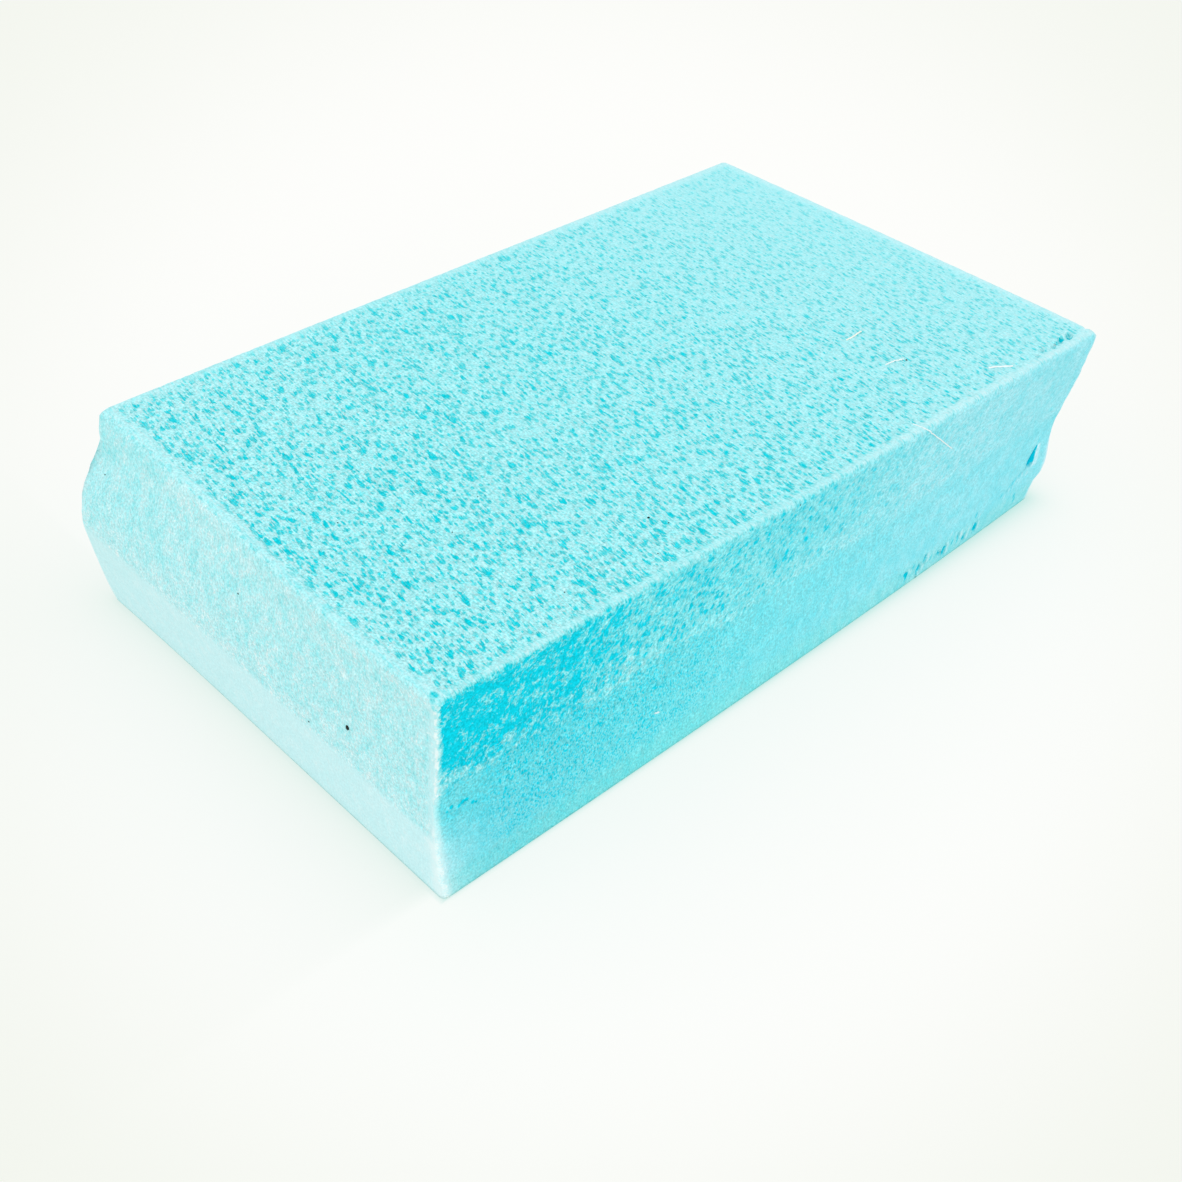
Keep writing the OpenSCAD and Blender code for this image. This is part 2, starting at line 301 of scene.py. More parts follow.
def skinFaces(rowCount, ringSize, nx, ny):
    # the points are numbered ring by ring from the base up, and then over the inside of the top
    innerStart = rowCount * ringSize
    last = innerStart - ringSize
    topIndex = np.zeros((nx + 1, ny + 1), int)
    topIndex[:, 0] = last + np.arange(nx + 1)
    topIndex[-1, :] = last + nx + np.arange(ny + 1)
    topIndex[:, -1] = (last + nx + ny + np.arange(nx + 1))[::-1]
    topIndex[0, :] = np.append(last + (nx + ny + nx + np.arange(ny)), last)[::-1]
    topIndex[1:-1, 1:-1] = innerStart + np.arange((nx - 1) * (ny - 1)).reshape(nx - 1, ny - 1)
    faces = []
    column = np.arange(ringSize)
    nextColumn = (column + 1) % ringSize
    for row in range(rowCount - 1):
        low, high = row * ringSize, (row + 1) * ringSize
        faces += np.stack([low + column, low + nextColumn, high + nextColumn, high + column], 1).tolist()
    t = topIndex
    faces += np.stack([t[:-1, :-1], t[1:, :-1], t[1:, 1:], t[:-1, 1:]], -1).reshape(-1, 4).tolist()
    faces.append(list(range(ringSize))[::-1])
    return faces


def skinMarks(shares, rowCount, wallCut, topCut):
    # for each point: its side, its distance from an edge, and how far it is onto the top and into a cut
    alongX, alongY = shares[:2]
    lengthMm, widthMm, _ = [s / mm for s in blockSize]
    sideLengths = [lengthMm, widthMm, lengthMm, widthMm]
    ringSide = np.concatenate([np.full(len(s) - 1, i) for i, s in enumerate(shares)])
    ringGap = np.concatenate([np.minimum(s[:-1], 1 - s[:-1]) * n for s, n in zip(shares, sideLengths)])
    innerU, innerV = np.meshgrid(alongX[1:-1], alongY[1:-1], indexing="ij")
    innerGap = np.minimum(np.minimum(innerU, 1 - innerU) * lengthMm, np.minimum(innerV, 1 - innerV) * widthMm)
    rounding = (np.arange(rowCount) - (rowCount - 1 - skin["edgeRows"])) / skin["edgeRows"]
    rounding = np.clip(rounding, 0, 1)
    return {
        "side": np.append(np.tile(ringSide, rowCount), np.full(innerGap.size, topSide)),
        "cornerGap": np.append(np.tile(ringGap, rowCount), np.full(innerGap.size, skin["farGap"])),
        "rimGap": np.append(np.zeros(wallCut.size), innerGap.ravel()),
        "top": np.append(np.repeat(rounding, len(ringSide)), np.ones(innerGap.size)),
        "cut": np.concatenate([wallCut.ravel(), topCut[1:-1, 1:-1].ravel()]),
        "lip": np.concatenate([lipBeside(wallCut).ravel(), np.zeros(innerGap.size)]),
    }


def wrapSkin():
    cadMesh = cadBlock.data
    tree = BVHTree.FromPolygons([v.co for v in cadMesh.vertices], [p.vertices for p in cadMesh.polygons])
    lengthMm, widthMm, _ = [s / mm for s in blockSize]
    fineStart, rimShare = skin["fineStart"], skin["rimShare"]
    columnSteps = [(0, fineStart, skin["columnStep"]), (fineStart, 1, skin["fineColumnStep"])]
    alongX = gradedSteps(lengthMm, columnSteps)
    alongY = gradedSteps(widthMm, [(0, rimShare, skin["rimRowStep"]), (rimShare, 1, skin["rowStep"])])
    shares = [alongX, alongY, 1 - alongX[::-1], 1 - alongY[::-1]]
    heights = rowHeights()
    ringPoints, sink = castRings(tree, heights, shares)
    patch = topPatch(tree, ringPoints[-1], alongX, alongY)
    topCut = cutsIn(blockHigh.z - patch[:, :, 2].T).T
    verts = np.vstack([ringPoints.reshape(-1, 3), patch[1:-1, 1:-1].reshape(-1, 3)])
    marks = skinMarks(shares, len(heights), cutsIn(sink), topCut)
    faces = skinFaces(len(heights), ringPoints.shape[1], len(alongX) - 1, len(alongY) - 1)
    mesh = bpy.data.meshes.new("foamBlock")
    mesh.from_pydata(verts.tolist(), [], faces)
    mesh.update()
    return mesh, verts, marks


# Where each finish lies on the block, in mm from the near corner. Whiteness runs from deep cyan to pale foam:
# partly the foam's own fresh and rubbed places, partly painted light and shade.
# Two numbers for a fade are where it starts and where it is full. Three are an amount and its fade.
zones = {
    # lower limit of the break, along X on the front and along Y on the left
    "frontLine": ((0, 30, 37, 56, 76), (13.8, 13.8, 12.95, 12.7, 13.6)),
    "leftLine": ((0, 56), (7.5, 11.4)),
    "otherLine": 11.0,
    "lineFade": (-0.6, 0.6),
    # front side, deeper in colour than the left end partly as painted shade
    "frontWhite": ((1, 4, 7, 12, 19, 28, 38, 48, 58, 68, 78, 92),
                   (0.22, 0.20, 0.215, 0.235, 0.245, 0.262, 0.30, 0.312, 0.355, 0.415, 0.45, 0.435)),
    "frontLow": (0.02, 10, 3),
    "frontLowAlong": (70, 55),
    "cornerGlow": ((0.44, 1.7), (0.12, 6)),      # amounts and reaches of the glow beside the near corner
    "cornerGlowHeight": (11.5, 3),
    "farBreak": (0.05, 30, 60),
    "shadeUnderEdge": (0.11, 7.0),                     # painted shade under the top edge: amount and reach
    "shadeUnderEdgeTail": (0.09, 75, 50),
    "shadeUnderEdgePatch": (0.26, 26, 15),
    "patchLine": ((0, 2, 5, 9, 13, 20), (18.2, 17.2, 16.0, 15.0, 14.6, 15.9)),     # its lower limit along X
    "shadeUnderEdgeFade": (-3.5, 2),                       # from that limit
    "patchFade": (-3.4, 1.4),
    # left end: whiteness of the break and of the scored band, and changes over the break; the end is paler
    # than the front partly as painted light
    "leftWhite": (0.70, 0.90),
    "leftFoot": (0.06, 6, 2),
    "leftFootEdge": (0.05, 1.5, 0),
    "leftBulge": (0.06, 38, 50),
    "leftBulgeHeight": (11, 15),
    "leftHead": (0.04, 22, 24),
    "leftHeadAlong": (50, 40),
    # back side and right end
    "otherWhite": (0.45, 0.60),
    "otherNearEnd": (0.24, 5, 0),
    # top: near and far whiteness, paler toward the far end and the back as a painted sheen and haze
    "topWhite": (0.495, 0.57),
    "topAlong": (30.0, 95.0),
    "topBack": (0.05, 22, 50),
    "topBackAlong": (35, 5),
    "topLeftEdge": (0.06, 3.5, 0.5),
    # the rubbed edges, paler partly from wear and partly as a painted highlight
    "rimWhite": (0.10, 0.19),
    "rimAlong": (35, 70),
    "rimTurn": (0.3, 1.0),
    "rimReach": (1.3, 0.1),
    "cornerWhite": 0.97,
    "cornerHighLoss": 0.08,
    "cornerHeight": (11, 6),
    "cornerWidths": ((1.5, 0.6), (0.62, 0.4)),   # on the left and elsewhere, and how much wider low down
    "cornerBehind": (0.8, 20, 40),
    "rimCalm": 0.4,
    "cornerCalm": 0.8,
    # contrast of the texture: level, loss for each mm, where the loss starts, and the least left
    "frontContrast": (1.0, 0.0115, 26, 0.24),
    "topContrast": (0.97, 0.0060, 15, 0.28),
    "topBackLoss": (0.0022, 50),
    "leftContrast": 1.0,
    "otherContrast": 0.8,
    "underPatch": (0.4, 24, 14),
    "underPatchHeight": (16.5, 14.5),
    # grains: level, and what the contrast or the break adds
    "frontSpeck": (0.42, 0.75),
    "leftSpeck": (0.30, 0.50),
    "otherSpeck": 0.4,
    "topSpeck": 1.2,
    "lowSpeckLoss": 0.22,
    "nearSpeckLoss": (0.2, 14, 2),
    "lowSpeckHeight": (10, 4),
    "fray": (3.0, 0.8, 2.0),                     # of the score line on the front, the left and elsewhere
    # cuts
    "cutStart": 60.0,                            # the cuts lie beyond this
    "cutGap": 1.5,
    "crackAlong": (92.0, 93.5),
    "crackHeight": (4.0, 5.5),
    "crackLoss": 0.6,
    "lipWhite": 0.30,                            # how much paler the torn lips beside the cuts are
    # clouds, blotches and dots
    "frontClouds": 0.28,
    "farClouds": (0.16, 40, 75),
    "leftClouds": (0.08, 0.12),
    "otherClouds": 0.2,
    "topClouds": 0.12,
    "blotchAlong": (36, 14),
    "blotchHeight": (12.0, 14.5),
    "tornAlong": (66, 71),
    "tornHeight": (3.6, 2.2),
    "pepperStart": (3, 9),
    "pepperEnd": (48, 34),
    "pepperHeight": (1.5, 4.5),
    "soft": (0.45, 25, 85),
    # tints of the front, right, back, left and top, painted light and shade of each side and of its near and
    # far parts
    "nearTints": ((0.975, 0.98, 0.98), (1, 1, 1), (1, 1, 1), (0.93, 0.91, 0.91), (0.985, 0.96, 0.955)),
    "farTints": ((0.955, 0.93, 0.98), (1, 1, 1), (1, 1, 1), (0.93, 0.91, 0.91), (0.97, 0.94, 0.945)),
    "tintAlong": (22, 85),
    "baseTint": (1.2, 1.045, 1.01),              # the lowest edge of the front, paler as painted light, and of the other sides, darker as painted contact shade
    "otherBaseTint": (0.93, 0.965, 0.96),
    "baseHeight": (0.5, 0.1),
    # painted shade, a duller colour low on the front: loss, heights and places along X
    "frontShades": (((0, 0.045, 0.035), (18.5, 15), (32, 8)),
                    ((0, 0.02, 0.0), (11, 7), (22, 3)),
                    ((0, 0.015, 0.055), (4, 1.5), None)),
}


def smooth(value, low, high):
    t = np.clip((value - low) / (high - low), 0, 1)
    return t * t * (3 - 2 * t)


def eased(value, setting):
    amount, low, high = setting
    return amount * smooth(value, low, high)


def frontWhiteness(x, z, rough):
    white = np.interp(x, *zones["frontWhite"])
    white = white + eased(z, zones["frontLow"]) * smooth(x, *zones["frontLowAlong"])
    glow = sum(amount * np.exp(-x / reach) for amount, reach in zones["cornerGlow"])
    white = white + glow * smooth(z, *zones["cornerGlowHeight"])
    # painted shade under the overhanging top edge, deepest beside the near corner
    amount, reach = zones["shadeUnderEdge"]
    deep = amount * np.exp(-x / reach) + eased(x, zones["shadeUnderEdgeTail"])
    limit = np.interp(x, *zones["patchLine"])
    deepShare, patchShare = (smooth(z, limit + low, limit + high)
                             for low, high in (zones["shadeUnderEdgeFade"], zones["patchFade"]))
    white = white + eased(x, zones["farBreak"]) * rough - deep * deepShare
    return white - eased(x, zones["shadeUnderEdgePatch"]) * patchShare


def leftWhiteness(y, z, band, rough):
    broken, scored = zones["leftWhite"]
    white = broken + eased(band, zones["leftFoot"]) + eased(band, zones["leftFootEdge"])
    white = white - eased(y, zones["leftBulge"]) * smooth(z, *zones["leftBulgeHeight"])
    white = white + eased(z, zones["leftHead"]) * smooth(y, *zones["leftHeadAlong"])
    return scored + (white - scored) * rough


def topWhiteness(x, y):
    near, far = zones["topWhite"]
    white = near + (far - near) * smooth(x, *zones["topAlong"])
    return white + eased(y, zones["topBack"]) * smooth(x, *zones["topBackAlong"])


def whitenessOf(x, y, z, band, rough, rim, corner, low, marks):
    side = marks["side"]
    broken, scored = zones["otherWhite"]
    other = scored + (broken - scored) * rough + eased(x, zones["otherNearEnd"])
    walls = [frontWhiteness(x, z, rough), leftWhiteness(y, z, band, rough)]
    white = np.select([side == frontSide, side == leftSide], walls, other)
    white = white + (topWhiteness(x, y) - white) * marks["top"]
    near, far = zones["rimWhite"]
    white = white + rim * (near + (far - near) * smooth(x, *zones["rimAlong"]))
    white = white + np.where(side == topSide, eased(x, zones["topLeftEdge"]), 0)
    cornerWhite = zones["cornerWhite"] - zones["cornerHighLoss"] * (1 - low)
    return white + corner * np.maximum(0, cornerWhite - white)


def contrastsOf(x, y, z, rough, rim, corner, marks):
    # how strongly the texture and the grains show
    top = marks["top"]
    front, left = marks["side"] == frontSide, marks["side"] == leftSide
    level, loss, start, least = zones["frontContrast"]
    frontContrast = np.clip(level - loss * np.maximum(0, x - start), least, 1)
    level, loss, start, least = zones["topContrast"]
    backLoss, backReach = zones["topBackLoss"]
    topContrast = level - loss * np.maximum(0, x - start) - backLoss * y * x / backReach
    topContrast = np.clip(topContrast, least, 1)
    contrast = np.select([front, left], [frontContrast, zones["leftContrast"]], zones["otherContrast"])
    contrast = contrast + (topContrast - contrast) * top
    contrast = contrast * (1 - zones["rimCalm"] * rim) * (1 - zones["cornerCalm"] * corner)

    frontLevel, frontGain = zones["frontSpeck"]
    leftLevel, leftGain = zones["leftSpeck"]
    specks = [frontLevel + frontGain * frontContrast, leftLevel + leftGain * rough]
    speck = np.select([front, left], specks, zones["otherSpeck"])
    speck = speck + (zones["topSpeck"] * topContrast - speck) * top
    speck = speck * (1 - zones["rimCalm"] * rim) * (1 - zones["cornerCalm"] * corner)
    lowLoss = zones["lowSpeckLoss"] + eased(x, zones["nearSpeckLoss"])
    speck = speck * (1 - lowLoss * front * (1 - top) * smooth(z, *zones["lowSpeckHeight"]))

    under = eased(x, zones["underPatch"]) * smooth(z, *zones["underPatchHeight"])
    frontContrast = frontContrast * (1 - under * rough)
    contrast = np.where(front, frontContrast + (topContrast - frontContrast) * top, contrast)
    return contrast, speck


# painted light and shade: tints for each side, along the block, at its foot and low on the front
def tintsOf(x, z, corner, marks):
    side, top = marks["side"], marks["top"]
    front = side == frontSide
    far = smooth(x, *zones["tintAlong"])[:, None]
    nearTints, farTints = np.array(zones["nearTints"]), np.array(zones["farTints"])
    tint = nearTints[side] + (farTints[side] - nearTints[side]) * far
    topTint = nearTints[topSide] + (farTints[topSide] - nearTints[topSide]) * far
    tint = tint + (topTint - tint) * top[:, None]
    baseTint = np.where(front[:, None], np.array(zones["baseTint"]), np.array(zones["otherBaseTint"]))
    tint = tint * (1 + (baseTint - 1) * smooth(z, *zones["baseHeight"])[:, None])
    for loss, heights, along in zones["frontShades"]:
        share = smooth(z, *heights) * (smooth(x, *along) if along else 1)
        tint = tint * (1 - np.array(loss) * (share * front * (1 - corner))[:, None])
    return tint


def markZones(mesh, verts, marks):
    x = (verts[:, 0] - nearCorner.x) / mm
    y = (verts[:, 1] - nearCorner.y) / mm
    z = verts[:, 2] / mm
    side, top, cornerGap = (marks[k] for k in ("side", "top", "cornerGap"))
    front, left = side == frontSide, side == leftSide
    lines = [np.interp(x, *zones["frontLine"]), np.interp(y, *zones["leftLine"])]
    band = z - np.select([front, left], lines, zones["otherLine"])
    rough = smooth(band, *zones["lineFade"])
    rim = np.where(top < 1, smooth(top, *zones["rimTurn"]), smooth(marks["rimGap"], *zones["rimReach"]))
    low = smooth(z, *zones["cornerHeight"])
    leftWidth, otherWidth = (width + growth * low for width, growth in zones["cornerWidths"])
    corner = smooth(cornerGap, np.where(left, leftWidth, otherWidth), 0.0)
    corner = corner * (1 - top) * (1 - eased(y, zones["cornerBehind"]))

    farCut = (x > zones["cutStart"]) * (cornerGap > zones["cutGap"])
    inCrack = smooth(x, *zones["crackAlong"]) * smooth(z, *zones["crackHeight"]) * front
    white = whitenessOf(x, y, z, band, rough, rim, corner, low, marks)
    white = white + zones["lipWhite"] * marks["lip"] * farCut * front
    contrast, speck = contrastsOf(x, y, z, rough, rim, corner, marks)
    frontFray, leftFray, otherFray = zones["fray"]
    leftClouds, leftGain = zones["leftClouds"]
    clouds = [zones["frontClouds"] + eased(x, zones["farClouds"]), leftClouds + leftGain * rough]
    clouds = np.select([front, left], clouds, zones["otherClouds"])
    blotch = smooth(x, *zones["blotchAlong"]) * smooth(z, *zones["blotchHeight"])
    torn = smooth(x, *zones["tornAlong"]) * smooth(z, *zones["tornHeight"])
    dots = smooth(x, *zones["pepperStart"]) * smooth(x, *zones["pepperEnd"])
    dots = dots * smooth(z, *zones["pepperHeight"])
    values = {
        "top": top,
        "band": band,
        "white": white,
        "contrast": contrast,
        "speck": speck,
        "fray": np.select([front, left], [frontFray, leftFray], otherFray),
        "rim": rim,
        "pepper": np.where(front, dots + torn, 0),
        "cut": marks["cut"] * farCut * (1 - zones["crackLoss"] * inCrack),
        "clouds": clouds + (zones["topClouds"] - clouds) * top,
        "blotch": np.where(front, blotch, 0) * (1 - top),
        "soft": eased(x, zones["soft"]),
        "leftward": np.where(left, 1.0, 0.0),
    }
    for name, value in values.items():
        addPointValues(mesh, name, value)
    addPointValues(mesh, "tint", tintsOf(x, z, corner, marks), "FLOAT_VECTOR")
    addPointValues(mesh, "rest", np.stack([x, y, z], 1), "FLOAT_VECTOR")


# The patterns serve both for the shape of the skin and for its colour. Cells are in mm.
pits = {
    "largeCell": (1.20, 2.30, 1.0),
    "largeSize": 0.27,                # radius in cells
    "largeKeep": 0.32,                # share of the cells without a pit
    "smallCell": (0.62, 1.00, 1.0),
    "smallSize": 0.38,
    "smallKeep": 0.06,
    "smallSeed": 5.3,
    "frontCell": (0.85, 1.15, 1.0),
    "frontSize": 0.36,
    "frontKeep": 0.15,
    "frontSeed": 2.9,
    "frontDepth": 3.0,                # mm, how far behind the front side its own pattern reaches
    "seedSkew": 1.7,
    "lean": (0, 0, math.radians(11)),
    "upright": (math.radians(-90), 0, 0),
    "ragged": 0.5,
    "warp": 0.32,
    "warpCell": (0.55, 0.80, 1.0),
    "appear": 0.25,                   # how far past the kept share a pit reaches its full depth
    "leastSize": 0.55,                # share of its full size
    "faintSize": 0.4,
    "innerShare": 0.5,
    "depth": 0.13,                    # mm
    "smallDepth": 0.45,               # share of the depth
    "rimHeight": 0.15,                # mm, how much higher the rim of the top stands
    "rimLoss": 0.9,
}
streaks = {
    "topCell": (0.21, 1.20, 1.0),
    "topLean": (0, 0, math.radians(6)),
    "topRoughness": 0.6,
    "topLevel": 0.7,
    "topDepth": 0.35,
    "furrowCell": (0.60, 2.4, 1.0),
    "frontCell": (0.40, 0.40, 0.66),
    "frontLean": (0, math.radians(-38), 0),
    "frontRange": (0.62, 0.36),
    "leftCell": (0.42, 0.42, 0.72),
    "leftRange": (0.7, 0.3),
    "frayCell": (1.3, 1.3, 1.3),
    "frayRange": (-0.35, 0.35),
    "depth": 0.12,                    # mm
}
# Single pits: place and radius in mm; each is painted darker, as the shade inside it
spots = {
    "places": ((0.90, 0.64, 10.85, 0.17), (1.41, 0.65, 11.17, 0.29), (2.35, 0.63, 10.65, 0.25),
               (2.78, 0.64, 10.85, 0.34), (3.20, 0.64, 10.88, 0.27), (3.95, 0.59, 10.03, 0.26),
               (4.30, 0.58, 9.87, 0.17), (0.29, 1.70, 25.0, 0.54), (-0.10, 1.35, 24.6, 0.50),
               (-0.35, 1.05, 24.1, 0.42)),
    "innerShare": 0.5,
    "darkness": 0.44,
}
# Torn flecks beside the cuts: place, half width and darkness, which is negative where the foam is paler. The
# dark ones are painted shade inside the crack and the nicks.
# Each is drawn out along the lean by the stretch.
flecks = {
    "fade": (0.4, 1.1),               # shares of the half width
    "frontLean": (0, math.radians(-14), 0),
    "frontStretch": (1.0, 0.3, 1 / 2.4),
    "topLean": (0, 0, math.radians(-28)),
    "topStretch": (1 / 3.0, 1.0, 0.3),
    "front": (
        (94.96, 0.88, 7.0, 0.42, 0.66), (95.06, 0.90, 7.9, 0.36, 0.62), (95.20, 0.80, 8.9, 0.26, 0.50),
        (95.40, 0.65, 10.1, 0.26, 0.14), (94.30, 0.80, 6.0, 0.38, 0.20), (93.50, 0.80, 5.4, 0.36, 0.13),
        (92.50, 0.80, 4.95, 0.34, 0.11), (91.30, 0.80, 4.40, 0.34, 0.11), (93.45, 0.87, 2.4, 0.25, 0.30),
        (95.62, 0.62, 9.2, 0.22, -0.20), (95.50, 0.60, 8.0, 0.22, -0.20), (95.30, 0.58, 6.6, 0.24, -0.20),
        (94.75, 0.70, 5.3, 0.24, -0.18), (93.60, 0.75, 4.6, 0.22, -0.18), (92.30, 0.78, 4.0, 0.22, -0.16),
        (70.86, 0.41, 1.5, 0.34, 0.46), (72.15, 0.44, 2.1, 0.22, 0.28), (74.05, 0.46, 1.9, 0.19, 0.22),
        (74.60, 0.48, 2.5, 0.17, 0.20), (75.75, 0.49, 1.66, 0.22, 0.24), (76.80, 0.50, 1.5, 0.19, 0.20),
        (78.90, 0.55, 1.8, 0.19, 0.22), (80.15, 0.57, 1.8, 0.22, 0.28), (81.30, 0.59, 1.5, 0.26, 0.32),
        (82.75, 0.62, 1.65, 0.24, 0.30), (85.30, 0.77, 1.6, 0.36, 0.40), (84.60, 0.65, 3.7, 0.24, 0.28),
        (89.85, 0.73, 4.1, 0.22, 0.20), (93.70, 0.86, 1.7, 0.24, 0.30), (92.00, 0.77, 4.0, 0.20, 0.20),
        (71.80, 0.42, 1.6, 0.24, -0.18), (73.20, 0.50, 1.3, 0.22, -0.16), (74.16, 0.49, 3.4, 0.20, -0.14),
        (76.20, 0.50, 2.3, 0.20, -0.16), (77.60, 0.51, 1.5, 0.24, -0.16), (79.50, 0.57, 3.4, 0.20, -0.14),
        (80.70, 0.58, 2.7, 0.22, -0.18), (82.00, 0.61, 1.9, 0.22, -0.18), (83.60, 0.63, 2.1, 0.26, -0.18),
        (85.50, 0.67, 3.1, 0.26, -0.20), (90.70, 0.76, 3.4, 0.22, -0.18), (92.70, 0.81, 3.0, 0.24, -0.20),
    ),
    "top": (
        (95.12, 0.66, 25.0, 0.24, 0.62), (94.20, 1.06, 25.0, 0.24, 0.40), (92.82, 0.68, 25.0, 0.18, 0.22),
        (91.75, 0.35, 25.0, 0.20, 0.18), (90.45, 0.72, 25.0, 0.20, 0.18), (96.0, 1.5, 25.0, 0.24, -0.12),
        (94.95, 1.3, 25.0, 0.22, -0.14), (93.3, 0.4, 25.0, 0.20, -0.12),
    ),
}


def topStreak(tree, rest):
    most = streaks["topRoughness"]
    roughness = mathNode(tree, "MULTIPLY_ADD", attributeOf(tree, "soft"), -most, most)
    return stretchedNoise(tree, rest, streaks["topCell"], turn=streaks["topLean"], shift=(1, 5, 0),
                          detail=2.0, roughness=roughness, dimensions="2D")


def topFurrow(tree, rest):
    return stretchedNoise(tree, rest, streaks["furrowCell"], turn=streaks["topLean"], shift=(6, 2, 0),
                          detail=1.0, dimensions="2D")


def frontNodules(tree, rest):
    return stretchedNoise(tree, rest, streaks["frontCell"], turn=streaks["frontLean"], shift=(3, 9, 5),
                          detail=3.0, roughness=0.65)


def leftStreak(tree, rest):
    return stretchedNoise(tree, rest, streaks["leftCell"], shift=(8, 2, 4), detail=2.0, roughness=0.55)


def roughShare(tree, rest, nodules):
    # 1 on the snapped break, 0 on the scored band, with a frayed line between them
    wander = stretchedNoise(tree, rest, streaks["frayCell"], shift=(5, 5, 1), detail=2.0, roughness=0.6)
    both = mathNode(tree, "SUBTRACT", mathNode(tree, "ADD", wander, nodules), 1.0)
    moved = mathNode(tree, "MULTIPLY_ADD", both, attributeOf(tree, "fray"), attributeOf(tree, "band"))
    return rampNode(tree, moved, *streaks["frayRange"])


def pitLayer(tree, place, group, seed, ragged):
    # one pit in some of the cells of a stretched pattern, each of its own size, with a ragged outline
    cell, size, skipped = (pits[group + name] for name in ("Cell", "Size", "Keep"))
    turned = turnedPlace(tree, place, pits["lean"])
    shift = (seed, seed * pits["seedSkew"], 0)
    scaled = vectorNode(tree, "MULTIPLY_ADD", turned, [1 / c for c in cell], shift)
    warp = addNode(tree, "ShaderNodeTexNoise", noise_dimensions="2D")
    warpPlace = vectorNode(tree, "MULTIPLY", turned, [1 / c for c in pits["warpCell"]])
    setInput(tree, warp.inputs["Vector"], warpPlace)
    warp.inputs["Scale"].default_value = 1.0
    warp.inputs["Detail"].default_value = 1.0
    centred = vectorNode(tree, "SUBTRACT", warp.outputs["Color"], (0.5, 0.5, 0.5))
    cells = addNode(tree, "ShaderNodeTexVoronoi", voronoi_dimensions="2D", feature="F1")
    warped = vectorNode(tree, "ADD", scaled, scaledVector(tree, centred, pits["warp"]))
    setInput(tree, cells.inputs["Vector"], warped)
    cells.inputs["Scale"].default_value = 1.0
    parts = addNode(tree, "ShaderNodeSeparateXYZ")
    setInput(tree, parts.inputs[0], cells.outputs["Color"])
    present = rampNode(tree, parts.outputs[0], skipped, skipped + pits["appear"])
    radius = mathNode(tree, "MULTIPLY_ADD", parts.outputs[1], size, size * pits["leastSize"])
    faint = pits["faintSize"]
    radius = mathNode(tree, "MULTIPLY", radius, mathNode(tree, "MULTIPLY_ADD", present, 1 - faint, faint))
    innerShare = mathNode(tree, "SUBTRACT", pits["innerShare"], attributeOf(tree, "soft"))
    inner = mathNode(tree, "MULTIPLY", radius, innerShare)
    distance = centredNoise(tree, ragged, pits["ragged"], cells.outputs["Distance"])
    return mathNode(tree, "MULTIPLY", rampNode(tree, distance, inner, radius, 1.0, 0.0), present)


def topPits(tree, rest):
    ragged = topStreak(tree, rest)
    large = pitLayer(tree, rest, "large", 0.0, ragged)
    small = pitLayer(tree, rest, "small", pits["smallSeed"], ragged)
    return large, small


def frontPits(tree, rest):
    # behind the front side the pattern runs on along the width, so that its cells aren't drawn out on an end
    depth = vectorNode(tree, "DOT_PRODUCT", rest, (0, 1, 0))
    behind = mathNode(tree, "MAXIMUM", mathNode(tree, "SUBTRACT", depth, pits["frontDepth"]), 0.0)
    spread = vectorNode(tree, "ADD", rest, scaledVector(tree, (1, 0, 0), behind))
    place = turnedPlace(tree, spread, pits["upright"])
    return pitLayer(tree, place, "front", pits["frontSeed"], frontNodules(tree, rest))


def spotLayer(tree, rest):
    total = None
    for x, y, z, radius in spots["places"]:
        distance = vectorNode(tree, "DISTANCE", rest, (x, y, z))
        spot = rampNode(tree, distance, radius * spots["innerShare"], radius, 1.0, 0.0)
        total = spot if total is None else mathNode(tree, "MAXIMUM", total, spot)
    return total


def fleckLayer(tree, rest, group):
    lean, stretch = flecks[group + "Lean"], Vector(flecks[group + "Stretch"])
    place = vectorNode(tree, "MULTIPLY", turnedPlace(tree, rest, lean), stretch)
    inner, outer = flecks["fade"]
    dark, pale = 0.0, 0.0
    for x, y, z, radius, darkness in flecks[group]:
        centre = Vector((x, y, z))
        centre.rotate(Euler(lean))
        distance = vectorNode(tree, "DISTANCE", place, centre * stretch)
        fleck = rampNode(tree, distance, radius * inner, radius * outer, abs(darkness), 0.0)
        if darkness > 0:
            dark = mathNode(tree, "MAXIMUM", dark, fleck)
        else:
            pale = mathNode(tree, "MAXIMUM", pale, fleck)
    return mathNode(tree, "SUBTRACT", dark, pale)


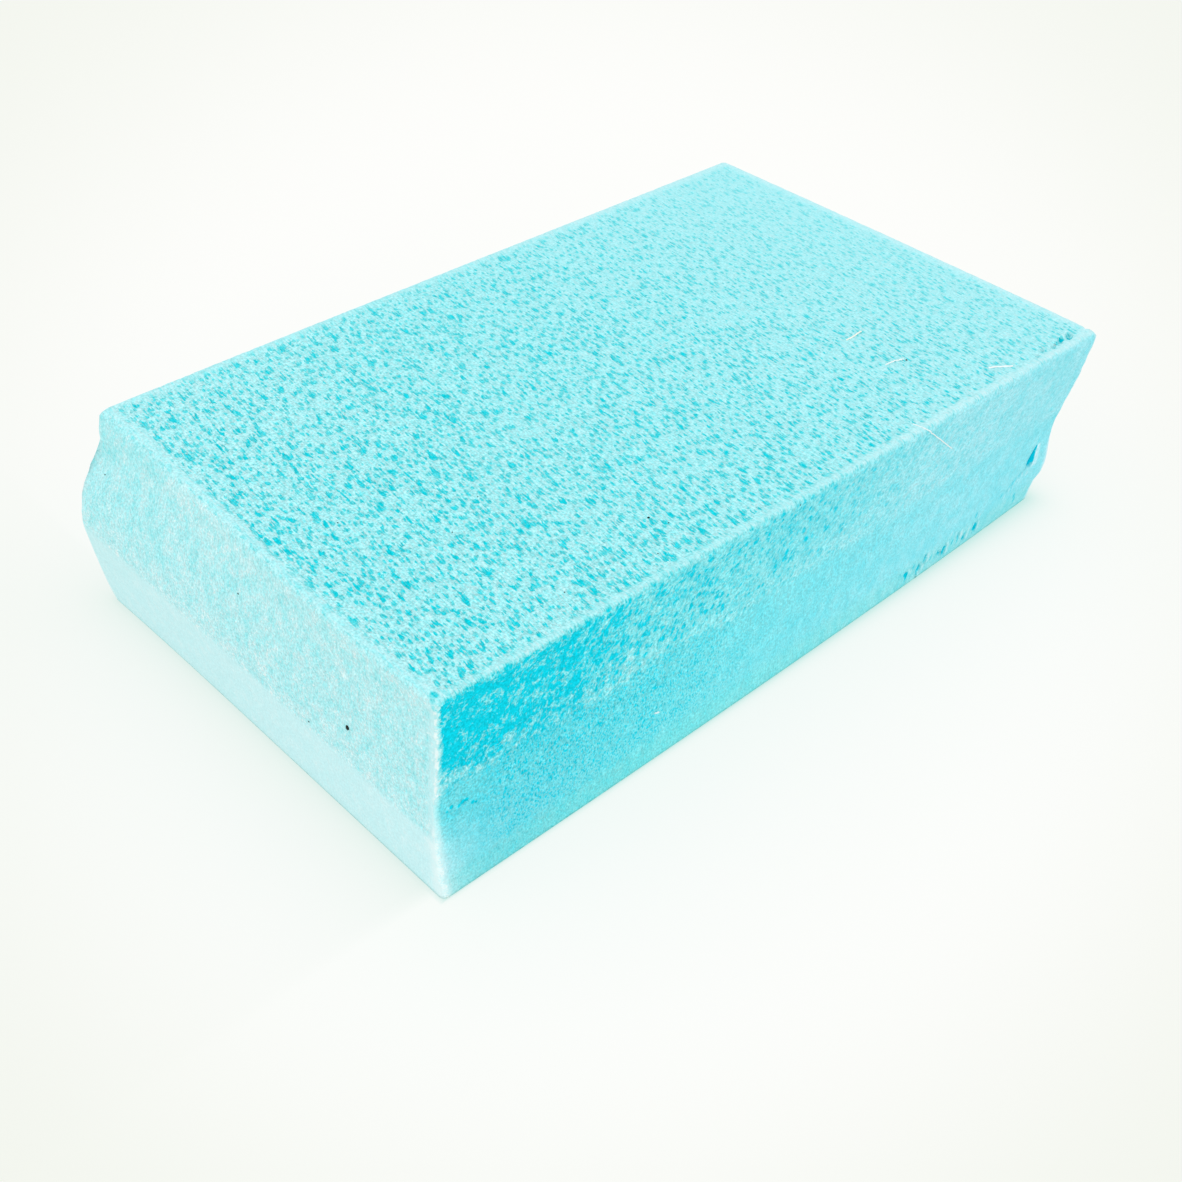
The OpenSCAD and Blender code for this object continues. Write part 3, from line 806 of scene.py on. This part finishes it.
def foamTree():
    # sinks the skin into the solid by the depth of its pits and of its break
    depths = ("pitDepth", "rimHeight", "breakDepth")
    inputs = {**dict.fromkeys(depths, "NodeSocketFloat"), "foam": "NodeSocketMaterial"}
    tree, given = newTree("foamTexture", inputs)
    rest = attributeOf(tree, "rest", vector=True)
    top, rim, leftward = (attributeOf(tree, name) for name in ("top", "rim", "leftward"))
    nodules = frontNodules(tree, rest)
    rough = mathNode(tree, "MULTIPLY", roughShare(tree, rest, nodules), mathNode(tree, "SUBTRACT", 1.0, top))
    spot = spotLayer(tree, rest)
    large, small = topPits(tree, rest)
    both = mathNode(tree, "MAXIMUM", large, mathNode(tree, "MULTIPLY", small, pits["smallDepth"]))
    furrow = mathNode(tree, "SUBTRACT", streaks["topLevel"], topStreak(tree, rest))
    both = mathNode(tree, "MULTIPLY_ADD", furrow, streaks["topDepth"], both)
    fade = mathNode(tree, "MULTIPLY", mathNode(tree, "MULTIPLY_ADD", rim, -pits["rimLoss"], 1.0), top)
    pitSink = mathNode(tree, "MAXIMUM", mathNode(tree, "MULTIPLY", both, fade), spot)
    pitSink = mathNode(tree, "MULTIPLY", pitSink, given.outputs["pitDepth"])
    pitSink = mathNode(tree, "MULTIPLY_ADD", fade, given.outputs["rimHeight"], pitSink)
    sunk = rampNode(tree, nodules, *streaks["frontRange"])
    sunk = mathNode(tree, "MAXIMUM", sunk, frontPits(tree, rest))
    leftSunk = rampNode(tree, leftStreak(tree, rest), *streaks["leftRange"])
    share = mixed(tree, sunk, leftSunk, leftward)
    share = mathNode(tree, "MULTIPLY", share, rough)
    breakSink = mathNode(tree, "MULTIPLY", share, given.outputs["breakDepth"])
    sink = mathNode(tree, "MAXIMUM", mathNode(tree, "ADD", pitSink, breakSink), 0.0)
    sink = mathNode(tree, "MULTIPLY", sink, -mm)
    setPosition = addNode(tree, "GeometryNodeSetPosition")
    setInput(tree, setPosition.inputs["Geometry"], given.outputs["Geometry"])
    normal = addNode(tree, "GeometryNodeInputNormal").outputs[0]
    setInput(tree, setPosition.inputs["Offset"], scaledVector(tree, normal, sink))
    return finishTree(tree, setPosition.outputs["Geometry"], given.outputs["foam"])


finish = {
    # colour from the deep cyan in a pit, partly painted shade, to the pale cell walls, partly painted sheen
    "stops": ((0.0, (0.002, 0.660, 0.820)), (0.2, (0.132, 0.735, 0.820)), (0.4, (0.264, 0.810, 0.860)),
              (0.6, (0.396, 0.860, 0.900)), (0.9, (0.594, 0.900, 0.930)), (1.0, (0.800, 0.955, 0.960))),
    "level": 0.98,
    "roughness": 0.85,
    "sheen": 0.03,
    "bumpStrength": 0.45,
    "bumpHeight": 0.0003,             # m
    # the cuts are painted darker and a little bluer inside, as their shade and bounce light
    "cutWhite": -0.50,
    "cutRange": (0.06, 0.38),
    "topCutLoss": 0.65,
    "cutTint": (0.0, 0.05, 0.06),
    # deep places on the top lose some blue, as painted shade in the pits
    "pitTint": (0.0, 0.0, -0.06),
    "pitTintRange": (0.0, 0.5),
    "topRange": (0.25, 0.75),
    "blotch": 0.75,
    "patchy": 0.10,
    "vein": 0.28,
    "veinRange": (0.015, 0.06),
    "veinPatches": (0.42, 0.54),
}
# Cells of the finer patterns, in mm
cells = {
    "grain": (0.17, 0.17, 0.20),
    "patch": (1.5, 1.5, 2.0),
    "dots": (0.24, 0.24, 0.32),
    "cloud": (1.3, 1.3, 1.7),
    "patchy": (1.2, 1.2, 1.5),
    "vein": (1.0, 1.0, 1.0),
    "lightness": (0.25, 0.25, 0.30),
}
# How much whiteness each pattern adds on the planed top, the break, the left end's break and the scored band.
# The pits' negative shares are painted shade in them.
planed = {
    "largeSoft": 0.9,
    "small": 0.76,
    "smallSoft": 1.5,
    "pits": -0.56,
    "rimLoss": 0.6,
    "streak": 0.90,
    "furrow": 0.14,
    "grain": 0.50,
    "lift": 0.06,
}
broken = {
    "patch": 0.35,
    "lumpRange": (0.42, 0.56),
    "lumps": 0.26,
    "lift": -0.03,
    "pits": -0.30,
    "grain": 0.42,
}
leftBreak = {"veilRange": (0.58, 0.70), "veil": 0.22, "streak": 0.62, "patch": 0.50, "grain": 0.42}
scored = {"dotRange": (0.50, 0.36), "dots": -0.25, "grain": 0.38, "leftGrain": -0.26}


def planedTexture(tree, rest, rim, grain):
    large, small = topPits(tree, rest)
    soft = attributeOf(tree, "soft")
    crisp = mathNode(tree, "SUBTRACT", 1.0, soft)
    large = mathNode(tree, "MULTIPLY", large, mathNode(tree, "MULTIPLY_ADD", soft, planed["largeSoft"], 1.0))
    smallShare = mathNode(tree, "MULTIPLY_ADD", soft, planed["smallSoft"], planed["small"])
    small = mathNode(tree, "MULTIPLY", small, smallShare)
    deepest = mathNode(tree, "MULTIPLY", mathNode(tree, "MAXIMUM", large, small), planed["pits"])
    white = mathNode(tree, "MULTIPLY", deepest, mathNode(tree, "MULTIPLY_ADD", rim, -planed["rimLoss"], 1.0))
    white = centredNoise(tree, topStreak(tree, rest), planed["streak"], white)
    white = centredNoise(tree, topFurrow(tree, rest), planed["furrow"], white)
    white = centredNoise(tree, grain, mathNode(tree, "MULTIPLY", crisp, planed["grain"]), white)
    return mathNode(tree, "ADD", white, planed["lift"])


def brokenTexture(tree, rest, nodules, patch, grain):
    lumps = rampNode(tree, centredNoise(tree, patch, broken["patch"], nodules), *broken["lumpRange"])
    white = mathNode(tree, "MULTIPLY_ADD", lumps, broken["lumps"], broken["lift"])
    white = mathNode(tree, "MULTIPLY_ADD", frontPits(tree, rest), broken["pits"], white)
    return centredNoise(tree, grain, broken["grain"], white)


def leftTexture(tree, rest, patch, grain):
    veil = mathNode(tree, "MULTIPLY", rampNode(tree, grain, *leftBreak["veilRange"]), leftBreak["veil"])
    veil = centredNoise(tree, leftStreak(tree, rest), leftBreak["streak"], veil)
    veil = centredNoise(tree, patch, leftBreak["patch"], veil)
    return centredNoise(tree, grain, leftBreak["grain"], veil)


def scoredTexture(tree, rest, leftward, grain):
    dots = stretchedNoise(tree, rest, cells["dots"], shift=(9, 4, 7), detail=2.0)
    dots = mathNode(tree, "MULTIPLY", rampNode(tree, dots, *scored["dotRange"]), attributeOf(tree, "pepper"))
    white = mathNode(tree, "MULTIPLY", dots, scored["dots"])
    grains = mathNode(tree, "MULTIPLY_ADD", leftward, scored["leftGrain"], scored["grain"])
    return centredNoise(tree, grain, grains, white)


def wholeTexture(tree, rest, top):
    leftward = attributeOf(tree, "leftward")
    grain = stretchedNoise(tree, rest, cells["grain"], shift=(4, 1, 2), detail=1.5, roughness=0.6)
    patch = stretchedNoise(tree, rest, cells["patch"], turn=streaks["frontLean"], shift=(3, 3, 8), detail=1.0)
    nodules = frontNodules(tree, rest)
    snapped = brokenTexture(tree, rest, nodules, patch, grain)
    snapped = mixed(tree, snapped, leftTexture(tree, rest, patch, grain), leftward)
    plain = scoredTexture(tree, rest, leftward, grain)
    walls = mixed(tree, plain, snapped, roughShare(tree, rest, nodules))
    topShare = rampNode(tree, centredNoise(tree, nodules, 1.0, top), *finish["topRange"])
    return mixed(tree, walls, planedTexture(tree, rest, attributeOf(tree, "rim"), grain), topShare)


def patchedShare(tree, rest, share):
    # clouds, blotches and veins, which don't fade with the distance from the near corner
    blotch = attributeOf(tree, "blotch")
    cloud = stretchedNoise(tree, rest, cells["cloud"], shift=(7, 8, 3), detail=2.0, roughness=0.6)
    share = centredNoise(tree, cloud, attributeOf(tree, "clouds"), share)
    patchy = stretchedNoise(tree, rest, cells["patchy"], turn=streaks["frontLean"], shift=(3, 3, 8),
                            detail=3.0, roughness=0.65)
    amount = mathNode(tree, "MULTIPLY_ADD", blotch, finish["blotch"], finish["patchy"])
    share = centredNoise(tree, patchy, amount, share)
    vein = stretchedNoise(tree, rest, cells["vein"], shift=(2, 7, 1), detail=2.0, roughness=0.6)
    ridge = mathNode(tree, "ABSOLUTE", mathNode(tree, "SUBTRACT", vein, 0.5))
    vein = rampNode(tree, ridge, *finish["veinRange"], 1.0, 0.0)
    vein = mathNode(tree, "MULTIPLY", vein, rampNode(tree, patchy, *finish["veinPatches"]))
    return mathNode(tree, "MULTIPLY_ADD", mathNode(tree, "MULTIPLY", vein, blotch), finish["vein"], share)


def foamMaterial():
    material = bpy.data.materials.new("foamBlue")
    material.use_nodes = True
    tree = material.node_tree
    shader = tree.nodes["Principled BSDF"]
    rest, tint = (attributeOf(tree, name, vector=True) for name in ("rest", "tint"))
    names = ("top", "white", "contrast", "speck", "cut")
    top, white, contrast, speck, cut = (attributeOf(tree, name) for name in names)
    texture = wholeTexture(tree, rest, top)
    share = patchedShare(tree, rest, mathNode(tree, "MULTIPLY_ADD", texture, contrast, white))
    # painted shade and bounce light inside the cuts
    inCut = rampNode(tree, cut, *finish["cutRange"])
    inCut = mathNode(tree, "MULTIPLY", inCut, mathNode(tree, "MULTIPLY_ADD", top, -finish["topCutLoss"], 1.0))
    share = mathNode(tree, "MULTIPLY_ADD", inCut, finish["cutWhite"], share)
    share = mathNode(tree, "SUBTRACT", share, fleckLayer(tree, rest, "front"))
    share = mathNode(tree, "SUBTRACT", share, mathNode(tree, "MULTIPLY", fleckLayer(tree, rest, "top"), top))
    share = mathNode(tree, "MULTIPLY_ADD", spotLayer(tree, rest), -spots["darkness"], share, clamp=True)
    ramp = addNode(tree, "ShaderNodeValToRGB")
    setInput(tree, ramp.inputs["Fac"], share)
    for place, colour in finish["stops"][1:-1]:
        ramp.color_ramp.elements.new(place)
    for element, (place, colour) in zip(ramp.color_ramp.elements, finish["stops"]):
        element.position = place
        element.color = [c * finish["level"] for c in colour] + [1]

    # light and dark grains over the colour
    lightness = stretchedNoise(tree, rest, cells["lightness"], shift=(1, 6, 9), detail=2.0, roughness=0.65)
    lightness = centredNoise(tree, lightness, speck, 1.0)
    cutTint = vectorNode(tree, "ADD", scaledVector(tree, finish["cutTint"], inCut), (1, 1, 1))
    deep = mathNode(tree, "MULTIPLY", rampNode(tree, share, *finish["pitTintRange"], 1.0, 0.0), top)
    pitTint = vectorNode(tree, "ADD", scaledVector(tree, finish["pitTint"], deep), (1, 1, 1))
    tinted = vectorNode(tree, "MULTIPLY", vectorNode(tree, "MULTIPLY", ramp.outputs["Color"], tint), cutTint)
    tinted = vectorNode(tree, "MULTIPLY", tinted, pitTint)
    setInput(tree, shader.inputs["Base Color"], scaledVector(tree, tinted, lightness))
    shader.inputs["Roughness"].default_value = finish["roughness"]
    shader.inputs["Specular IOR Level"].default_value = finish["sheen"]
    # relief finer than the mesh
    bump = addNode(tree, "ShaderNodeBump")
    bump.inputs["Strength"].default_value = finish["bumpStrength"]
    bump.inputs["Distance"].default_value = finish["bumpHeight"]
    setInput(tree, bump.inputs["Height"], mathNode(tree, "MULTIPLY", texture, contrast))
    setInput(tree, shader.inputs["Normal"], bump.outputs[0])
    return material


def makeBlock():
    mesh, verts, marks = wrapSkin()
    markZones(mesh, verts, marks)
    block = bpy.data.objects.new("foamBlock", mesh)
    scene.collection.objects.link(block)
    material = foamMaterial()
    mesh.materials.append(material)
    values = {
        "pitDepth": pits["depth"],
        "rimHeight": pits["rimHeight"],
        "breakDepth": streaks["depth"],
        "foam": material,
    }
    applyTree(block, foamTree(), values)
    block.data.shade_smooth()
    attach(block, "root")
    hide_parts("foam_block")
    print("foam block:", len(block.data.vertices), "points,", len(block.data.polygons), "faces")
    return block


foamBlock = makeBlock()

# Fibres of lint caught on the block: points in mm from the near corner, thickness and colour
lint = {
    "steps": 6,                # between two points
    "sides": 8,
    "standing": 0.7,           # how high its middle line lies over the foam, as a share of half the thickness
    "shadow": 0.9,
    "fibres": {
        "lintOverEdge": (((65.5, 1.0, 25.0), (65.6, 0.2, 25.0), (65.8, -0.5, 24.9), (67.8, -0.6, 23.3),
                          (72.7, -0.2, 19.3)), 0.13, (0.90, 0.94, 0.94)),
        "lintOnLip": (((81.6, 2.5, 25.0), (82.7, 2.0, 25.0), (84.1, 1.0, 25.0)), 0.20, (0.93, 0.96, 0.96)),
        "lintByPit": (((72.7, 10.3, 25.0), (74.2, 10.2, 25.0), (75.3, 9.8, 25.0)), 0.17, (0.88, 0.94, 0.93)),
        "lintInMiddle": (((73.4, 16.5, 25.0), (74.4, 16.5, 25.0), (76.3, 16.7, 25.0)),
                         0.20, (0.90, 0.92, 0.83)),
        "lintOnFront": (((27.7, 0.4, 6.35), (28.0, 0.4, 6.25), (28.3, 0.4, 6.15)), 0.17, (0.85, 0.95, 0.95)),
    },
}
# Dark grains on the block: place and radii in mm
grit = {
    "roundness": 2,
    "dark": (0.004, 0.006, 0.005),
    "light": (0.03, 0.035, 0.03),
    "places": ((-0.96, 12.64, 13.47), (-1.07, 18.76, 9.63), (-1.02, 29.16, 18.78), (-0.49, 53.87, 18.5),
               (31.8, 7.5, 25), (32.7, 5.7, 25), (28.5, 3.0, 25), (45.4, -0.4, 24.48), (17.9, 4.5, 25),
               (21.2, 20.4, 25), (15.7, 17.7, 25), (8.3, 25.6, 25), (75.5, 9.5, 25)),
    "radii": ((0.12, 0.22, 0.32), (0.06, 0.09, 0.09), (0.06, 0.10, 0.10), (0.06, 0.09, 0.09),
              (0.15, 0.12, 0.05), (0.09, 0.08, 0.05), (0.08, 0.06, 0.05), (0.07, 0.06, 0.05),
              (0.08, 0.07, 0.05), (0.07, 0.07, 0.05), (0.07, 0.08, 0.05), (0.07, 0.07, 0.05),
              (0.13, 0.12, 0.08)),
}
# What the fibres and the grains have in common
debris = {
    "fibreCell": 0.4,          # mm
    "gritCell": 0.1,
    "range": (0.35, 0.65),
    "roughness": 0.9,
    "gloss": 0.1,
}


def mixedMaterial(name, dark, light, cell):
    material = bpy.data.materials.new(name)
    material.use_nodes = True
    tree = material.node_tree
    shader = tree.nodes["Principled BSDF"]
    place = addNode(tree, "ShaderNodeTexCoord").outputs["Object"]
    noise = stretchedNoise(tree, place, (cell * mm, cell * mm, cell * mm))
    ramp = addNode(tree, "ShaderNodeValToRGB")
    setInput(tree, ramp.inputs["Fac"], noise)
    for element, position, colour in zip(ramp.color_ramp.elements, debris["range"], (dark, light)):
        element.position = position
        element.color = [*colour, 1]
    setInput(tree, shader.inputs["Base Color"], ramp.outputs["Color"])
    shader.inputs["Roughness"].default_value = debris["roughness"]
    shader.inputs["Specular IOR Level"].default_value = debris["gloss"]
    return material


def surfaceOf(piece):
    mesh = piece.data
    return BVHTree.FromPolygons([v.co for v in mesh.vertices], [p.vertices for p in mesh.polygons])


def fibreTree():
    tree, given = newTree("fibre", {"thickness": "NodeSocketFloat", "lint": "NodeSocketMaterial"})
    line = addNode(tree, "GeometryNodeMeshToCurve")
    setInput(tree, line.inputs["Mesh"], given.outputs["Geometry"])
    ring = addNode(tree, "GeometryNodeCurvePrimitiveCircle")
    ring.inputs["Resolution"].default_value = lint["sides"]
    setInput(tree, ring.inputs["Radius"], mathNode(tree, "MULTIPLY", given.outputs["thickness"], mm / 2))
    tube = addNode(tree, "GeometryNodeCurveToMesh")
    setInput(tree, tube.inputs["Curve"], line.outputs[0])
    setInput(tree, tube.inputs["Profile Curve"], ring.outputs[0])
    tube.inputs["Fill Caps"].default_value = True
    return finishTree(tree, tube.outputs[0], given.outputs["lint"])


def grainTree():
    tree, given = newTree("grains", {"roundness": "NodeSocketInt", "grit": "NodeSocketMaterial"})
    ball = addNode(tree, "GeometryNodeMeshIcoSphere")
    ball.inputs["Radius"].default_value = mm
    setInput(tree, ball.inputs["Subdivisions"], given.outputs["roundness"])
    placed = addNode(tree, "GeometryNodeInstanceOnPoints")
    setInput(tree, placed.inputs["Points"], given.outputs["Geometry"])
    setInput(tree, placed.inputs["Instance"], ball.outputs[0])
    setInput(tree, placed.inputs["Scale"], attributeOf(tree, "radii", vector=True))
    return finishTree(tree, placed.outputs[0], given.outputs["grit"])


def layOnBlock(surface, place, lift, ceiling):
    point = nearCorner + Vector(place) * mm
    hit, normal, _, _ = surface.find_nearest(point)
    laid = hit + normal * lift
    laid.z = min(laid.z, ceiling)
    return laid


def makeLint(surface):
    tree = fibreTree()
    for name, (places, thickness, colour) in lint["fibres"].items():
        line = []
        for start, end in zip(places[:-1], places[1:]):
            for i in range(lint["steps"]):
                line.append(Vector(start).lerp(Vector(end), i / lint["steps"]))
        line.append(Vector(places[-1]))
        half = thickness / 2 * mm
        points = [layOnBlock(surface, p, half * lint["standing"], blockHigh.z - half) for p in line]
        mesh = bpy.data.meshes.new(name)
        mesh.from_pydata(points, [(i, i + 1) for i in range(len(points) - 1)], [])
        fibre = bpy.data.objects.new(name, mesh)
        scene.collection.objects.link(fibre)
        material = mixedMaterial(name, [c * lint["shadow"] for c in colour], colour, debris["fibreCell"])
        applyTree(fibre, tree, {"thickness": thickness, "lint": material})
        fibre.data.shade_smooth()
        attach(fibre, "root")
    print("lint:", len(lint["fibres"]), "fibres")


def makeGrit(surface):
    mesh = bpy.data.meshes.new("grit")
    flat = min(min(radii) for radii in grit["radii"]) * mm
    points = [layOnBlock(surface, p, 0.0, blockHigh.z - flat) for p in grit["places"]]
    mesh.from_pydata(points, [], [])
    addPointValues(mesh, "radii", np.array(grit["radii"]), "FLOAT_VECTOR")
    grains = bpy.data.objects.new("grit", mesh)
    scene.collection.objects.link(grains)
    material = mixedMaterial("gritBlack", grit["dark"], grit["light"], debris["gritCell"])
    applyTree(grains, grainTree(), {"roundness": grit["roundness"], "grit": material})
    grains.data.shade_smooth()
    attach(grains, "root")
    print("grit:", len(points), "grains")


blockSurface = surfaceOf(foamBlock)
makeLint(blockSurface)
makeGrit(blockSurface)

view = {
    "standOff": (-0.05729, -0.07041, 0.1163),   # m, camera from the block's low corner
    "yaw": 43.11,
    "pitch": 39.915,
    "roll": 4.673,
    "lens": 47.78,
    "sensor": 36.0,
    "nearest": 0.005,
}
studio = {
    "floorSize": 3.0,
    "floorColour": (0.90, 0.92, 0.89),
    "floorAlbedo": 0.16,
    "floorLight": (1.022, 1.018, 1.0),
    "floorGlow": 0.81,
    # painted shade: how much darker the paper is away from the middle of the view, for each colour, and over
    # which distances
    "dimming": (0.105, 0.080, 0.130),
    "dimmingCentre": (0.0, 0.005),
    "dimmingReach": (0.27, 0.56),
    # shade at the foot of the block: depth for each colour, reach in mm beside the near corner and its growth
    "footShade": (0.44, 0.17, 0.19),
    "footReach": (0.13, 38.0),
    "wideShade": (0.050, 0.008, 0.020),
    "wideReach": 14.0,
    # the same on the left
    "leftShade": (0.11, 0.05, 0.065),
    "leftReach": 2.2,
    "leftFootShare": 0.25,
    "leftFootReach": 0.25,
    "leftWideShade": (0.105, 0.052, 0.070),
    "leftAlong": (2.5, 1.0),
    "leftAcross": (0.6, 2.5),
    # the floor's mesh in mm: its fine part, first step and growth, and the lines under the block
    "finePart": 80.0,
    "firstStep": 0.08,
    "stepGrowth": 0.08,
    "underEdge": (0.3, 0.6, 0.9, 1.2, 1.6, 2.0),
    "underMiddle": 3,
    "sky": 1.0,
    "suns": {
        "sunLeft": (0.5, 50, (-0.82, 0.15, 0.57)),
        "sunFront": (0.32, 60, (0.15, -0.95, 0.28)),
    },
}


def viewDirections():
    yaw, pitch = math.radians(view["yaw"]), math.radians(view["pitch"])
    ahead = Vector((math.cos(pitch) * math.cos(yaw), math.cos(pitch) * math.sin(yaw), -math.sin(pitch)))
    return ahead, Vector((math.sin(yaw), -math.cos(yaw), 0))


def placeCamera():
    ahead, level = viewDirections()
    roll = math.radians(view["roll"])
    upright = level.cross(ahead)
    across = level * math.cos(roll) + upright * math.sin(roll)
    up = upright * math.cos(roll) - level * math.sin(roll)
    data = bpy.data.cameras.new("camera")
    data.lens = view["lens"]
    data.sensor_width = view["sensor"]
    data.clip_start = view["nearest"]
    camera = bpy.data.objects.new("camera", data)
    turn = Matrix((across, up, -ahead)).transposed().to_4x4()
    camera.matrix_world = Matrix.Translation(blockLow + Vector(view["standOff"])) @ turn
    scene.collection.objects.link(camera)
    scene.camera = camera


def addSun(name, strength, angle, source):
    data = bpy.data.lights.new(name, "SUN")
    data.energy = strength
    data.angle = math.radians(angle)
    sun = bpy.data.objects.new(name, data)
    sun.rotation_mode = "QUATERNION"
    sun.rotation_quaternion = Vector(source).to_track_quat("Z", "Y")
    scene.collection.objects.link(sun)


def paperMaterial():
    material = bpy.data.materials.new("floorPaper")
    material.use_nodes = True
    tree = material.node_tree
    shader = tree.nodes["Principled BSDF"]
    paper = [c * studio["floorAlbedo"] for c in studio["floorColour"]]
    shader.inputs["Base Color"].default_value = paper + [1]
    shader.inputs["Roughness"].default_value = 1.0
    shader.inputs["Specular IOR Level"].default_value = 0.0
    ahead, level = viewDirections()
    place = addNode(tree, "ShaderNodeTexCoord").outputs["Object"]
    away = vectorNode(tree, "SUBTRACT", place, blockLow + Vector(view["standOff"]))
    across, above = studio["dimmingCentre"]
    centre = ahead + level * across + level.cross(ahead) * above
    inFront = mathNode(tree, "DIVIDE", 1.0, vectorNode(tree, "DOT_PRODUCT", away, ahead))
    aside = vectorNode(tree, "DISTANCE", scaledVector(tree, away, inFront), centre)
    aside = rampNode(tree, aside, *studio["dimmingReach"])
    dimmed = scaledVector(tree, [-d for d in studio["dimming"]], aside)
    glow = vectorNode(tree, "ADD", dimmed, studio["floorLight"])
    glow = vectorNode(tree, "SUBTRACT", glow, attributeOf(tree, "shade", vector=True))
    setInput(tree, shader.inputs["Emission Color"], glow)
    shader.inputs["Emission Strength"].default_value = studio["floorGlow"]
    return material


def spacedLine(low, high):
    # fine steps round the block's sides, wide ones beyond
    steps = [0.0]
    while steps[-1] < studio["finePart"]:
        steps.append(steps[-1] + studio["firstStep"] + studio["stepGrowth"] * steps[-1])
    steps = np.array(steps)
    inside = np.array(studio["underEdge"])
    margin = studio["underMiddle"]
    middle = np.linspace(low + margin, high - margin, int(high - low))
    beyond = studio["floorSize"] / mm
    parts = ([-beyond], low - steps[::-1], low + inside, middle, high - inside[::-1], high + steps, [beyond])
    return np.concatenate(parts)


def shadeOf(gaps, reach, depth):
    return np.exp(-gaps / reach)[:, None] * np.array(depth)


def footShade(surface, points):
    # how much the block shades the paper, from the distance to its surface
    gaps, nearest = np.zeros(len(points)), np.zeros((len(points), 3))
    for i, point in enumerate(points):
        hit, _, _, gap = surface.find_nearest(Vector(point))
        gaps[i] = gap / mm
        nearest[i] = (hit - nearCorner) / mm
    x, y = nearest[:, 0], nearest[:, 1]
    onLeft = (smooth(x, *studio["leftAlong"]) * smooth(y, *studio["leftAcross"]))[:, None]
    start, growth = studio["footReach"]
    front = shadeOf(gaps, start * np.exp(x / growth), studio["footShade"])
    front = front + shadeOf(gaps, studio["wideReach"], studio["wideShade"])
    left = shadeOf(gaps, studio["leftReach"], studio["leftShade"])
    left = left + shadeOf(gaps, studio["wideReach"], studio["leftWideShade"])
    foot = shadeOf(gaps, studio["leftFootReach"], studio["footShade"])
    left = left + foot * studio["leftFootShare"]
    return front + (left - front) * onLeft


def makeFloorMesh():
    xs, ys = (spacedLine(blockLow[i] / mm, blockHigh[i] / mm) * mm for i in (0, 1))
    points = [(x, y, 0.0) for y in ys for x in xs]
    wide = len(xs)
    faces = [(j * wide + i, j * wide + i + 1, (j + 1) * wide + i + 1, (j + 1) * wide + i)
             for j in range(len(ys) - 1) for i in range(wide - 1)]
    floorMesh = bpy.data.meshes.new("floor")
    floorMesh.from_pydata(points, [], faces)
    addPointValues(floorMesh, "shade", footShade(blockSurface, points), "FLOAT_VECTOR")
    return floorMesh


def lightStudio():
    world = bpy.data.worlds.new("world")
    world.use_nodes = True
    background = world.node_tree.nodes["Background"]
    background.inputs["Color"].default_value = (1, 1, 1, 1)
    background.inputs["Strength"].default_value = studio["sky"]
    scene.world = world
    scene.view_settings.view_transform = "Standard"
    for name, (strength, angle, source) in studio["suns"].items():
        addSun(name, strength, angle, source)
    floorMesh = makeFloorMesh()
    floor = bpy.data.objects.new("floor", floorMesh)
    scene.collection.objects.link(floor)
    floorMesh.materials.append(paperMaterial())


placeCamera()
lightStudio()
print("camera, floor and light placed")
